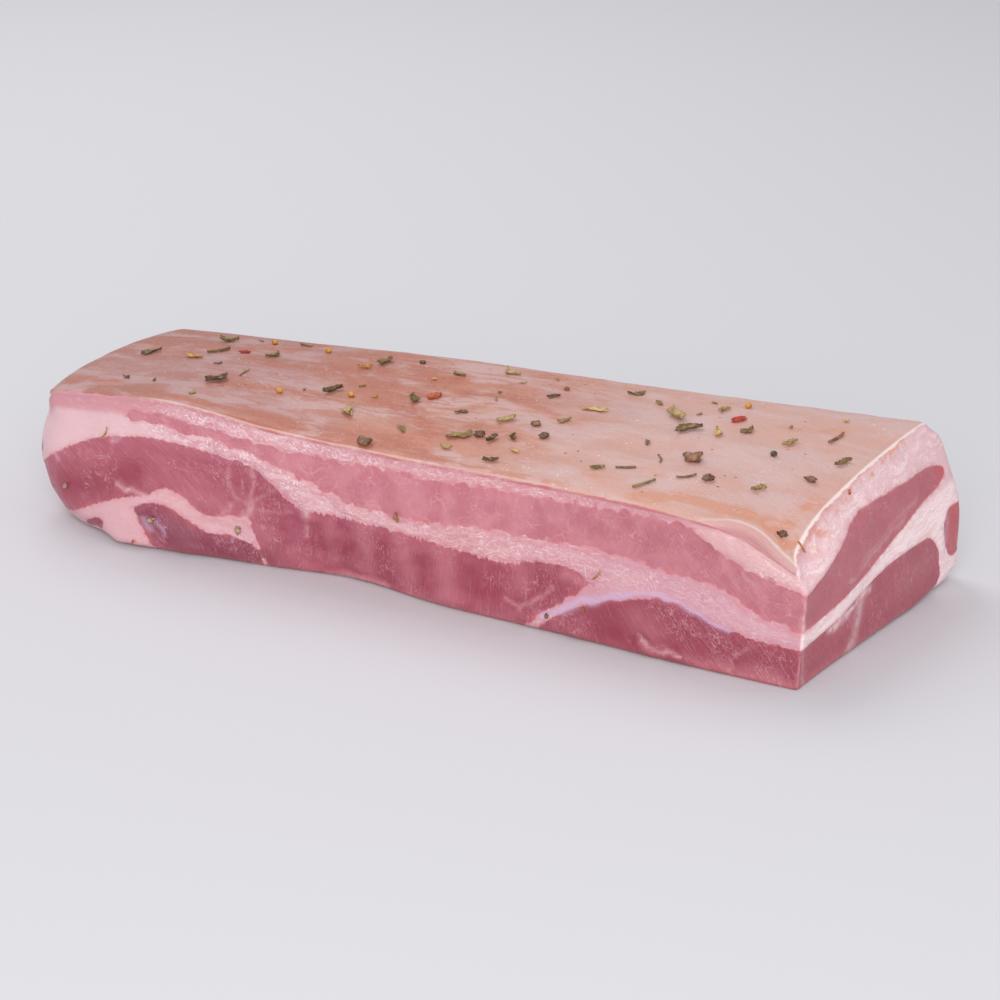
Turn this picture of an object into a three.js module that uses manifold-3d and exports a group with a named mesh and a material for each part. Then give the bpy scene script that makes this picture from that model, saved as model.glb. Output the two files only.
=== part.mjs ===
// A raw pork belly slab, lying rind up and strewn with dried herbs.
// The slab is cut from one belly: a cap of fat with the rind as its top, and
// below it muscles bedded in fat. Every muscle that shows at a cut side is a
// solid of its own that runs through the slab. The rind, the fat round the
// muscles and the herbs stuck to the rind are one solid.
// Millimetres, +X along the slab, -Y the near cut side, +Z up.

import * as THREE from "three";
import { mergeVertices } from "three/addons/utils/BufferGeometryUtils.js";
import Module from "manifold-3d";

const wasm = await Module();
wasm.setup();

// ---------------------------------------------------------------- sizes

const HALF_LENGTH = 140;
const HALF_WIDTH = 50;
const THICKNESS = 50;
const NEAR_CUT = -52; // the near side's plane, where the muscle borders are measured
const RIGHT_SKEW = 19.5; // how far the right cut runs out towards the back
const CROWN = 2; // how much the rind rises between its two long edges
const END_BEVEL = 8.6; // how far the right end's upper edge is set back near the front
const CORNER_DROOP = 5.5; // how far the near right corner of the rind sags
const MUSCLE_SKEW = 0.12; // how far a muscle drifts along the slab per millimetre of depth
const GAP = 0.3; // between a muscle and the fat round it
const BOX_CENTRE = new THREE.Vector3(1.334, -4.687, 0); // middle of the whole, at its foot

// Height of the rind's near and far edge, as [place along the slab, height].
const NEAR_RIND = [[-140, 48.5], [-118, 51], [-88, 53.2], [-50, 50.6], [0, 49.8], [70, 50], [100, 48.8], [122, 46.2], [140, 43]];
const FAR_RIND = [[-140, 43.5], [-90, 46.5], [-30, 50], [40, 51.8], [100, 54], [140, 55.5]];
const FAR_EDGE = [[-140, 37], [0, 41], [140, 45]];

// Bulges (out > 0) and hollows (out < 0) of the near side.
const NEAR_SWELLS = [
  { along: -100, height: 0.05, out: 7.5, reach: 30, rise: 0.5 },
  { along: -20, height: 0, out: -5.5, reach: 24, rise: 0.3 },
  { along: 92, height: 0.25, out: 1.5, reach: 30, rise: 0.4 },
  { along: -20, height: 0.7, out: 1.5, reach: 60, rise: 0.3 },
];

// The muscles. Each is a long flat pillow between two skins, whose heights are
// given at the near cut and deep inside, where they have settled. It ends roundly
// at `far`, and runs out of the slab wherever a cut side shows it.
const MUSCLES = [
  {
    name: "upper_lean",
    color: "#c27c86",
    alongSteps: 32,
    acrossSteps: 7,
    far: [[-140, 28], [0, 34], [140, 43]],
    roundness: 12,
    top: {
      settled: -6,
      near: [[-108, 45], [-92, 47.3], [-50, 44.6], [0, 44.4], [60, 46], [100, 45.2], [112, 39], [140, 30.3], [175, 20]],
      deep: [[-108, 41], [0, 43], [140, 44.2], [175, 44.2]],
    },
    bottom: {
      settled: 50,
      near: [[-108, 44.4], [-80, 43.2], [-45, 36.6], [-10, 28.9], [60, 31.6], [112, 27.2], [125, 21.3], [140, 18.2], [175, 12]],
      deep: [[-108, 40.4], [-70, 38], [0, 36], [140, 38], [175, 38]],
    },
  },
  {
    name: "long_lower_lean",
    color: "#b4596b",
    alongSteps: 30,
    acrossSteps: 6,
    far: [[-175, 26], [69, 33]],
    roundness: 13,
    top: {
      settled: 10,
      near: [[-175, 10], [-150, 19], [-138, 26.6], [-120, 35], [-95, 38.8], [-56, 35.2], [-38, 24.8], [-20, 25], [35, 21.4], [56, 24.8], [64, 23.6], [69, 20.6]],
      deep: [[-175, 16], [-135, 29], [-90, 31], [0, 24], [69, 20.6]],
    },
    bottom: {
      settled: 10,
      near: [[-175, 7], [-134, 5.5], [-123, 10.2], [-111, 15.6], [-104, 17.8], [-97, 19.4], [-92, 22.4], [-86, 21.6], [-75, 15.4], [-60, 16.6], [-54, 5], [-48, -6], [40, -6], [49, 3.4], [69, 20.2]],
      deep: [[-175, 7], [-134, 6.5], [-110, 14.6], [-97, 18.2], [-75, 15.4], [-60, 16], [-48, -6], [40, -6], [49, 3.4], [69, 20.2]],
    },
  },
  {
    name: "right_lower_lean",
    color: "#b2566a",
    alongSteps: 16,
    acrossSteps: 6,
    far: [[46, 29], [140, 32.8]],
    roundness: 9,
    top: {
      settled: 12,
      near: [[44, -4.6], [60, 9.5], [84, 19], [96, 20.8], [118, 15], [140, 12.9], [175, 12]],
      deep: [[44, -4.6], [60, 9.5], [84, 20], [110, 23], [140, 23.4], [175, 22]],
    },
    bottom: { settled: 12, near: [[44, -6], [175, -6]], deep: [[44, -6], [175, -6]] },
  },
  {
    name: "small_lower_lean",
    color: "#b25a6c",
    alongSteps: 14,
    acrossSteps: 5,
    far: [[-140, 18], [0, 24]],
    roundness: 10,
    top: {
      settled: 10,
      near: [[-101, 14.8], [-96, 17], [-89, 16.7], [-82, 13.6], [-77, 11.2], [-73, 9.8], [-69, 10.4], [-64, 9.4], [-60, 4.6], [-56.5, -5]],
      deep: [[-101, 13], [-97, 14.6], [-86, 13.4], [-73, 8.6], [-63, 7.4], [-56.5, -5]],
    },
    bottom: {
      settled: 10,
      near: [[-101, 14.4], [-98.6, 11], [-95.6, 6.6], [-92.4, 1], [-89, -6], [-56.5, -6]],
      deep: [[-101, 12.6], [-98, 9], [-93, 1.6], [-89, -6], [-56.5, -6]],
    },
  },
];

// A strip of muscle that shows along the back only: its own skins lie between
// `near`, where it starts inside the fat, and the open back.
const BACK_STRIP = {
  name: "back_lean",
  color: "#b65f70",
  alongSteps: 18,
  acrossSteps: 4,
  near: [[-80, 32.5], [0, 35], [140, 35.6]],
  roundness: 5,
  top: [[-80, 22.4], [-30, 25.2], [60, 26.6], [120, 28.8], [175, 28.8]],
  bottom: [[-80, 21.6], [-30, 18], [60, 16.4], [120, 12], [175, 11.6]],
};

// The herbs that stand out, at their places: x, y, length, heading in degrees.
const PLACED_HERBS = [
  { kind: "leaf", x: -130, y: -5, length: 8, heading: 60 },
  { kind: "petal", x: -111, y: -5, length: 7, heading: -6 },
  { kind: "stalk", x: -108, y: 6, length: 9.5, heading: 68 },
  { kind: "leaf", x: -115, y: 23, length: 7, heading: 20 },
  { kind: "chilli", x: -98, y: 8, length: 4, heading: 30 },
  { kind: "leaf", x: -87, y: 9, length: 6, heading: 80 },
  { kind: "leaf", x: -88, y: -25, length: 8.5, heading: 75 },
  { kind: "stalk", x: -84, y: -14, length: 7, heading: 95 },
  { kind: "leaf", x: -48, y: 22, length: 8, heading: 100 },
  { kind: "leaf", x: -48, y: -14, length: 7.5, heading: 50 },
  { kind: "leaf", x: -33, y: -28, length: 8, heading: -60 },
  { kind: "crumb", x: -16, y: -47, length: 5, heading: 0 },
  { kind: "leaf", x: -19, y: -9, length: 7, heading: 110 },
  { kind: "chilli", x: -14, y: -4, length: 6, heading: 65 },
  { kind: "leaf", x: 10, y: -30, length: 9, heading: 60 },
  { kind: "leaf", x: 18, y: -12, length: 7, heading: 70 },
  { kind: "leaf", x: 28, y: -42, length: 5, heading: 35 },
  { kind: "leaf", x: -2, y: 31, length: 7.5, heading: -30 },
  { kind: "petal", x: 40, y: 9, length: 9, heading: 25 },
  { kind: "leaf", x: 46, y: 30, length: 6, heading: 30 },
  { kind: "leaf", x: 68, y: 14, length: 9.5, heading: -60 },
  { kind: "leaf", x: 76, y: 5, length: 9.5, heading: 50 },
  { kind: "crumb", x: 87, y: -16, length: 6, heading: 35 },
  { kind: "stalk", x: 70, y: -30, length: 6.5, heading: 23 },
  { kind: "stalk", x: 80, y: -38, length: 8.5, heading: 60 },
  { kind: "stalk", x: 90, y: -28, length: 6.5, heading: 38 },
  { kind: "chilli", x: 88, y: 19, length: 5.5, heading: 50 },
  { kind: "petal", x: 86, y: 6, length: 6.5, heading: 95 },
  { kind: "leaf", x: 110, y: 9, length: 5.5, heading: 46 },
  { kind: "stalk", x: 122, y: 19, length: 9, heading: 80 },
  { kind: "stalk", x: -86, y: 30, length: 6.5, heading: -20 },
  { kind: "seed", x: -73, y: 24, length: 2.4, heading: 0 },
  { kind: "seed", x: -97, y: 26, length: 2.4, heading: 0 },
  { kind: "petal", x: -51, y: 13, length: 5, heading: 20 },
  { kind: "seed", x: -40, y: -15, length: 2.4, heading: 0 },
  { kind: "leaf", x: 1, y: -12, length: 4.5, heading: 20 },
  { kind: "leaf", x: -10, y: -33, length: 4.5, heading: 150 },
  { kind: "leaf", x: 10, y: -39, length: 4, heading: 10 },
  { kind: "crumb", x: 16, y: -27, length: 3.6, heading: 20 },
  { kind: "leaf", x: 21, y: -28, length: 5, heading: 60 },
  { kind: "leaf", x: 27, y: -24, length: 4.5, heading: 110 },
  { kind: "crumb", x: 29, y: -12, length: 3.4, heading: 0 },
  { kind: "leaf", x: 36, y: -5, length: 5, heading: 40 },
  { kind: "crumb", x: 36, y: -20, length: 3.4, heading: 60 },
  { kind: "petal", x: 32, y: -33, length: 3.6, heading: 0 },
  { kind: "leaf", x: -17, y: 20, length: 5, heading: 160 },
  { kind: "leaf", x: 22, y: 15, length: 4.6, heading: 30 },
  { kind: "leaf", x: 62, y: -34, length: 4.6, heading: 10 },
  { kind: "stalk", x: 77, y: -20, length: 5.6, heading: 120 },
  { kind: "crumb", x: 97, y: -27, length: 3.4, heading: 30 },
  { kind: "leaf", x: 80, y: 26, length: 4.6, heading: 50 },
  { kind: "leaf", x: 94, y: 12, length: 5.6, heading: 70 },
  { kind: "leaf", x: 113, y: -25, length: 4.8, heading: 30 },
  { kind: "crumb", x: 125, y: -11, length: 3.4, heading: 0 },
  { kind: "leaf", x: 130, y: 4, length: 6, heading: 40 },
  { kind: "crumb", x: 127, y: -39, length: 3, heading: 0 },
];

// The other herbs are strewn by a seeded draw.
const SMALL_HERBS = { count: 24, seed: 20, minLength: 2, maxLength: 4.2, spacing: 7.5 };
const SMALL_KINDS = ["leaf", "leaf", "leaf", "stalk", "leaf", "petal", "leaf", "seed", "leaf", "crumb"];
const HERB_FIELD = { left: -124, right: 124, near: -43, far: 34 };

// Width and height of a herb as shares of its length, with the thinnest allowed.
const HERB_FORMS = {
  leaf: { width: 0.42, height: 0.14, least: 0.9 },
  stalk: { width: 0.14, height: 0.13, least: 0.8 },
  petal: { width: 0.36, height: 0.24, least: 1 },
  chilli: { width: 0.5, height: 0.3, least: 1.1 },
  crumb: { width: 0.82, height: 0.55, least: 1.4 },
  seed: { width: 0.95, height: 0.8, least: 1.8 },
};
const HERB_SUNK = 0.7; // how deep a herb's foot sits in the rind

// -------------------------------------------------------------- numbers

const lerp = THREE.MathUtils.lerp;
const clamp = THREE.MathUtils.clamp;

// A smooth step from 0 at `start` to 1 at `end`, in either direction.
function ramp(start, end, value) {
  const share = clamp((value - start) / (end - start), 0, 1);
  return share * share * (3 - 2 * share);
}

function bell(distance) {
  return Math.exp(-distance * distance);
}

// A smooth curve through [place, value] stations, held level beyond its ends.
function curve(stations, place) {
  const last = stations.length - 1;
  const x = clamp(place, stations[0][0], stations[last][0]);
  let i = 0;
  while (i < last - 1 && x >= stations[i + 1][0]) i += 1;
  const step = stations[i + 1][0] - stations[i][0];
  const k = (x - stations[i][0]) / step;
  const startSlope = slopeAt(stations, i) * step;
  const endSlope = slopeAt(stations, i + 1) * step;
  return (2 * k ** 3 - 3 * k ** 2 + 1) * stations[i][1]
    + (k ** 3 - 2 * k ** 2 + k) * startSlope
    + (3 * k ** 2 - 2 * k ** 3) * stations[i + 1][1]
    + (k ** 3 - k ** 2) * endSlope;
}

// The slope at a station, from its neighbours on both sides.
function slopeAt(stations, i) {
  const before = stations[Math.max(i - 1, 0)];
  const after = stations[Math.min(i + 1, stations.length - 1)];
  return (after[1] - before[1]) / (after[0] - before[0]);
}

// A seeded stream of numbers from 0 to 1.
function randomStream(seed) {
  let state = seed;
  return () => {
    state = (Math.imul(state, 1664525) + 1013904223) >>> 0;
    return state / 4294967296;
  };
}

// ------------------------------------------------------------ the slab

// The outline and heights of the slab. `along` is a place in x before the ends
// are shaped, `side` runs from -1 near to 1 far, and `height` from 0 to 1.

function rindHeight(along, side) {
  const level = lerp(curve(NEAR_RIND, along), curve(FAR_RIND, along), (side + 1) / 2);
  const droop = CORNER_DROOP * bell((along - 142) / 16) * bell((side + 1) / 0.28);
  return level + CROWN * (1 - side * side) - droop;
}

function nearSide(along, height) {
  let y = lerp(NEAR_CUT - 2, NEAR_CUT + 2.5, height ** 0.7);
  for (const swell of NEAR_SWELLS) {
    y -= swell.out * bell((along - swell.along) / swell.reach) * bell((height - swell.height) / swell.rise);
  }
  return y;
}

function farSide(along, height) {
  return curve(FAR_EDGE, along) + 6.5 * ramp(1, 0.86, height);
}

function leftEnd(side, height) {
  const belly = 9 * bell((height - 0.5) / 0.42) * (1 - 0.3 * side);
  return -139 - 3.5 * (side + 1) - 3 * (1 - side * side) - belly;
}

function rightEnd(side, height) {
  const out = RIGHT_SKEW * (1 - 0.85 * height ** 3);
  return HALF_LENGTH + out * ((side + 1) / 2) ** 1.1;
}

// How far the right end's upper edge leans back from the end.
function endBevel(share, side, height) {
  const back = ((side + 1) / 2) ** 1.6;
  const rise = clamp((height - 0.8) / 0.2, 0, 1) ** 1.4;
  return END_BEVEL * (1 - back) * (1 - 0.5 * bell((side + 1) / 0.1)) * rise * ramp(0.75, 1, share);
}

// How round the slab is at a place on its surface, along each axis.
function cornerRadii(a, b, c) {
  const right = (a + 1) / 2;
  const back = (b + 1) / 2;
  const up = (c + 1) / 2;
  const rim = ramp(0.72, 0.97, up);
  const endRadius = a < 0 ? lerp(15, 5, rim) : lerp(lerp(1.5, 7, back), 1.5, rim);
  const nearRadius = lerp(12, lerp(4, 1.6, ramp(0.75, 1, right)), ramp(0, 0.35, right));
  const farRadius = lerp(12, 7, ramp(0.15, 0.5, up));
  const sideRadius = lerp(b < 0 ? nearRadius : farRadius, 2, rim);
  const footAlong = lerp(lerp(4, 1.5, ramp(0.6, 1, right)), 9, back);
  let foot = Math.max(footAlong, lerp(13, 0, ramp(0, 0.2, right)));
  foot = lerp(foot, 2.5, ramp(0.93, 1, a) * (1 - ramp(0.3, 0.9, b)));
  return [endRadius, sideRadius, c < 0 ? foot : 2];
}

// A point of the box from -1 to 1, moved onto the slab.
function slabPoint(a, b, c) {
  const halves = [HALF_LENGTH, HALF_WIDTH, THICKNESS / 2];
  const radii = cornerRadii(a, b, c);
  const inner = [a, b, c].map((share, i) => clamp(share * halves[i], radii[i] - halves[i], halves[i] - radii[i]));
  const past = [a, b, c].map((share, i) => (share * halves[i] - inner[i]) / radii[i]);
  const furthest = Math.max(...past.map(Math.abs));
  const reach = Math.hypot(...past);
  const pull = reach > 0 ? furthest / reach : 0;
  const [s, t, w] = inner.map((value, i) => (value + radii[i] * past[i] * pull) / halves[i]);
  const height = (w + 1) / 2;
  const along = s * HALF_LENGTH;
  return [
    lerp(leftEnd(t, height), rightEnd(t, height), (s + 1) / 2) - endBevel(s, t, height),
    lerp(nearSide(along, height), farSide(along, height), (t + 1) / 2),
    height * rindHeight(along, t),
  ];
}

// Grid lines from -1 to 1 over a length, closer together at the two edges.
function gridLines(halfLength, edges, step) {
  const flat = 2 * (halfLength - edges[edges.length - 1]);
  const count = Math.round(flat / step);
  const lines = edges.map((edge) => edge / halfLength - 1);
  for (let i = 1; i < count; i += 1) {
    lines.push((edges[edges.length - 1] + (flat * i) / count) / halfLength - 1);
  }
  return [...lines, ...edges.map((edge) => 1 - edge / halfLength).reverse()];
}

// A closed box of grid lines with every vertex moved by `place`.
function mappedBox(linesX, linesY, linesZ, place) {
  const steps = [linesX.length - 1, linesY.length - 1, linesZ.length - 1];
  const box = new THREE.BoxGeometry(2, 2, 2, ...steps);
  const position = box.attributes.position;
  const lineAt = (lines, value) => lines[Math.round(((value + 1) / 2) * (lines.length - 1))];
  for (let i = 0; i < position.count; i += 1) {
    position.setXYZ(i, ...place(
      lineAt(linesX, position.getX(i)),
      lineAt(linesY, position.getY(i)),
      lineAt(linesZ, position.getZ(i)),
    ));
  }
  return box;
}

function slabGeometry() {
  const linesX = gridLines(HALF_LENGTH, [0, 1.5, 4, 9, 16], 12.5);
  const linesY = gridLines(HALF_WIDTH, [0, 1.5, 4, 10], 13);
  const linesZ = gridLines(THICKNESS / 2, [0, 1.5, 4.5, 10], 8);
  return mappedBox(linesX, linesY, linesZ, slabPoint);
}

// --------------------------------------------------------- the muscles

function evenLines(count) {
  return Array.from({ length: count + 1 }, (_, i) => (2 * i) / count - 1);
}

// The share of a pillow's thickness left at a distance from its rounded edge.
function rounding(distance, radius) {
  const share = clamp(distance / radius, 0, 1);
  return Math.max(0.1, Math.sqrt(1 - (1 - share) ** 2));
}

// How high a muscle's upper or lower skin lies, at a place along it and a depth y.
function skinHeight(skin, along, y) {
  return lerp(curve(skin.near, along), curve(skin.deep, along), ramp(NEAR_CUT, skin.settled, y));
}

// A pillow with its far edge rounded, `grown` outwards on every side.
function muscleGeometry(muscle, grown) {
  const outside = NEAR_CUT - 22;
  const first = muscle.top.near[0][0] - grown;
  const last = muscle.top.near[muscle.top.near.length - 1][0] + grown;
  const place = (a, b, c) => {
    const along = lerp(first, last, (a + 1) / 2);
    const far = curve(muscle.far, along);
    const y = lerp(outside, far, Math.sin(((b + 1) / 4) * Math.PI));
    const top = skinHeight(muscle.top, along, y);
    const bottom = skinHeight(muscle.bottom, along, y);
    const half = ((top - bottom) / 2) * rounding(far - y, muscle.roundness) + grown;
    const x = along + MUSCLE_SKEW * (y - NEAR_CUT);
    const spread = (y - outside) / (far - outside);
    return [x, y + grown * spread, (top + bottom) / 2 + c * half];
  };
  return mappedBox(evenLines(muscle.alongSteps), evenLines(muscle.acrossSteps), [-1, 1], place);
}

// The back strip: rounded where it starts in the fat, open at the back.
function backStripGeometry(grown) {
  const strip = BACK_STRIP;
  const first = strip.top[0][0] - grown;
  const last = strip.top[strip.top.length - 1][0] + grown;
  const place = (a, b, c) => {
    const along = lerp(first, last, (a + 1) / 2);
    const near = curve(strip.near, along);
    const y = lerp(near, near + 22, ((b + 1) / 2) ** 1.6);
    const top = curve(strip.top, along);
    const bottom = curve(strip.bottom, along);
    const half = ((top - bottom) / 2) * rounding(y - near, strip.roundness) + grown;
    return [along, y - grown, (top + bottom) / 2 + c * half];
  };
  return mappedBox(evenLines(strip.alongSteps), evenLines(strip.acrossSteps), [-1, 1], place);
}

// ----------------------------------------------------------- the herbs

// The place on the rind above (x, y), found by closing in on its box shares.
function rindPoint(x, y) {
  let along = x;
  let side = 0;
  for (let round = 0; round < 6; round += 1) {
    const near = nearSide(along, 1);
    side = (2 * (y - near)) / (farSide(along, 1) - near) - 1;
    const left = leftEnd(side, 1);
    const bare = x + endBevel(along / HALF_LENGTH, side, 1);
    along = HALF_LENGTH * ((2 * (bare - left)) / (rightEnd(side, 1) - left) - 1);
  }
  return new THREE.Vector3(x, y, rindHeight(along, side));
}

// A frame on the rind: its third axis stands square to the surface.
function rindFrame(x, y, heading) {
  const spot = rindPoint(x, y);
  const angle = THREE.MathUtils.degToRad(heading);
  const ahead = rindPoint(x + Math.cos(angle), y + Math.sin(angle)).sub(spot).normalize();
  const aside = rindPoint(x - Math.sin(angle), y + Math.cos(angle)).sub(spot);
  const up = new THREE.Vector3().crossVectors(ahead, aside).normalize();
  const across = new THREE.Vector3().crossVectors(up, ahead);
  return new THREE.Matrix4().makeBasis(ahead, across, up).setPosition(spot);
}

// One herb: a five-sided flake, ragged, a little curled and sunk into the rind.
function herbGeometry(herb, random) {
  const form = HERB_FORMS[herb.kind];
  const width = Math.max(form.least, herb.length * form.width);
  const height = Math.max(form.least * 0.6, herb.length * form.height);
  const curl = herb.kind === "seed" ? 0 : 0.12 * herb.length * random();
  const flake = mergeVertices(barePositions(new THREE.CylinderGeometry(0.36, 0.5, 1, 5, 1)));
  flake.rotateX(Math.PI / 2);
  const position = flake.attributes.position;
  for (let i = 0; i < position.count; i += 1) {
    const ragged = 0.8 + 0.35 * random();
    const x = position.getX(i) * herb.length * ragged;
    const y = position.getY(i) * width * ragged;
    const share = (2 * x) / herb.length;
    const lift = position.getZ(i) > 0 ? height + curl * share * share : -HERB_SUNK;
    position.setXYZ(i, x, y, lift);
  }
  flake.applyMatrix4(rindFrame(herb.x, herb.y, herb.heading));
  return flake;
}

// The strewn herbs, none closer than the spacing to one laid before it.
function strewnHerbs(random) {
  const herbs = [];
  const laid = [...PLACED_HERBS];
  while (herbs.length < SMALL_HERBS.count) {
    const size = random() * random();
    const herb = {
      kind: SMALL_KINDS[Math.floor(random() * SMALL_KINDS.length)],
      x: lerp(HERB_FIELD.left, HERB_FIELD.right, random()),
      y: lerp(HERB_FIELD.near, HERB_FIELD.far, random()),
      length: lerp(SMALL_HERBS.minLength, SMALL_HERBS.maxLength, size),
      heading: 360 * random(),
    };
    if (herb.kind === "seed") herb.length = 2.4;
    const clear = laid.every((other) => Math.hypot(other.x - herb.x, other.y - herb.y) > SMALL_HERBS.spacing);
    if (clear) {
      herbs.push(herb);
      laid.push(herb);
    }
  }
  return herbs;
}

// ----------------------------------------------------- joins and cuts

function barePositions(geometry) {
  geometry.deleteAttribute("normal");
  geometry.deleteAttribute("uv");
  return geometry;
}

function solidOf(geometry) {
  const merged = mergeVertices(barePositions(geometry), 1e-5);
  return new wasm.Manifold(new wasm.Mesh({
    numProp: 3,
    vertProperties: new Float32Array(merged.attributes.position.array),
    triVerts: new Uint32Array(merged.index.array),
  }));
}

// The largest connected piece of a solid, without loose scraps.
function largestPiece(solid) {
  return solid.decompose().reduce((best, piece) => (piece.volume() > best.volume() ? piece : best));
}

function meshOf(name, solid, color, roughness) {
  const { vertProperties, triVerts } = largestPiece(solid).getMesh();
  const geometry = new THREE.BufferGeometry();
  geometry.setAttribute("position", new THREE.BufferAttribute(vertProperties, 3));
  geometry.setIndex(new THREE.BufferAttribute(triVerts, 1));
  geometry.computeVertexNormals();
  const mesh = new THREE.Mesh(geometry, new THREE.MeshStandardMaterial({ color, roughness, metalness: 0 }));
  mesh.name = name;
  return mesh;
}

// --------------------------------------------------------- the object

function pillowOf(muscle, grown) {
  return solidOf(muscle === BACK_STRIP ? backStripGeometry(grown) : muscleGeometry(muscle, grown));
}

function herbSolids() {
  const random = randomStream(SMALL_HERBS.seed);
  return [...PLACED_HERBS, ...strewnHerbs(random)].map((herb) => solidOf(herbGeometry(herb, random)));
}

function porkBellySlab() {
  const group = new THREE.Group();
  const slab = solidOf(slabGeometry());
  let fat = slab;
  for (const muscle of [...MUSCLES, BACK_STRIP]) {
    group.add(meshOf(muscle.name, slab.intersect(pillowOf(muscle, 0)), muscle.color, 0.45));
    fat = fat.subtract(pillowOf(muscle, GAP));
  }
  for (const herb of herbSolids()) fat = fat.add(herb);
  group.add(meshOf("fat_and_rind", fat, "#dcb8b2", 0.5));
  group.position.copy(BOX_CENTRE).negate();
  return group;
}

export default porkBellySlab();
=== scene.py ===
"""Looks of a raw pork belly slab lying rind up, strewn with dried herbs.

The form is worked out in millimetres in the part's own frame, as in the CAD
source, and turned into metres where meshes are made. x runs along the slab from
its left end to its right, y from the near cut to the far side, and z is up.
"""
import math

import bpy
import numpy as np
from mathutils import Matrix, Vector, noise


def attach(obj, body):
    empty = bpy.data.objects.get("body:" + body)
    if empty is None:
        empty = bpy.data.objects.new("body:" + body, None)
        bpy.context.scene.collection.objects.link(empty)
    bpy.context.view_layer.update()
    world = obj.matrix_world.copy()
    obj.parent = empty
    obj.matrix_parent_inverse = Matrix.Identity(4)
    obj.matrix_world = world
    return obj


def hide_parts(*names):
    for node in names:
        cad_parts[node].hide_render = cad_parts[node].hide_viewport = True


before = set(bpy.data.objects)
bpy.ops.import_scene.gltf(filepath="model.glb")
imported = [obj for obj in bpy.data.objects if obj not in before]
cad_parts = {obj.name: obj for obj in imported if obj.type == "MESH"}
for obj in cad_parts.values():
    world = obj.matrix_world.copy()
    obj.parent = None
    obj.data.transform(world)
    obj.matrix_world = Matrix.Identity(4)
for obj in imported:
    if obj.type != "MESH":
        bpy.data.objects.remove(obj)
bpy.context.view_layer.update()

# ------------------------------------------------------------------ sizes

METRES = 0.001  # to the millimetre
HALF_LENGTH = 140
HALF_WIDTH = 50
THICKNESS = 50
NEAR_CUT = -52  # y of the long cut side
RIGHT_SKEW = 19.5  # how much further right the far edge of the right end's foot lies
CROWN = 2  # rise of the rind's middle line
END_BEVEL = 8.6  # how far the right end's upper edge leans back at the near corner
CORNER_DROOP = 5.5  # how far the rind sinks at the near right corner
NEAR_LEAN = (-2, 2.5)  # y of the near side's foot and upper edge, from the near cut
FAR_BEVEL = 6.5  # how far the rind's far edge is drawn in from the far side
LEFT_SKEW = 3.5  # how much further left the middle of the left end lies than its near edge
LEFT_BOW = 3  # how far the left end curves out between its near and far edges
LEFT_BULGE = 9  # how far it bulges at half height
MUSCLE_SKEW = 0.12  # slant of the muscles' run: x to each y
BOX_CENTRE = np.array([1.334, -4.687, 0])  # where the shared frame has its origin
SKIN_STEPS = (0.9, 1.6, 0.72)  # spacing of the fine skin's grid lines along x, y and z
SKIN_INSETS = [0, 0.5, 1, 1.6, 2.4, 3.3]  # of its first lines from each edge

# Heights of the rind along its near and far edges, and y of its far edge, by x.
NEAR_RIND = [(-140, 48.5), (-118, 51), (-88, 53.2), (-50, 50.6), (0, 49.8),
             (70, 50), (100, 48.8), (122, 46.2), (140, 43)]
FAR_RIND = [(-140, 43.5), (-90, 46.5), (-30, 50), (40, 51.8), (100, 54), (140, 55.5)]
FAR_EDGE = [(-140, 37), (0, 41), (140, 45)]

# Bulges (out > 0) and hollows of the near side: along, height, out, reach, rise.
NEAR_SWELLS = [
    (-100, 0.05, 7.5, 30, 0.5),
    (-20, 0, -5.5, 24, 0.3),
    (92, 0.25, 1.5, 30, 0.4),
    (-20, 0.7, 1.5, 60, 0.3),
]

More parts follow.
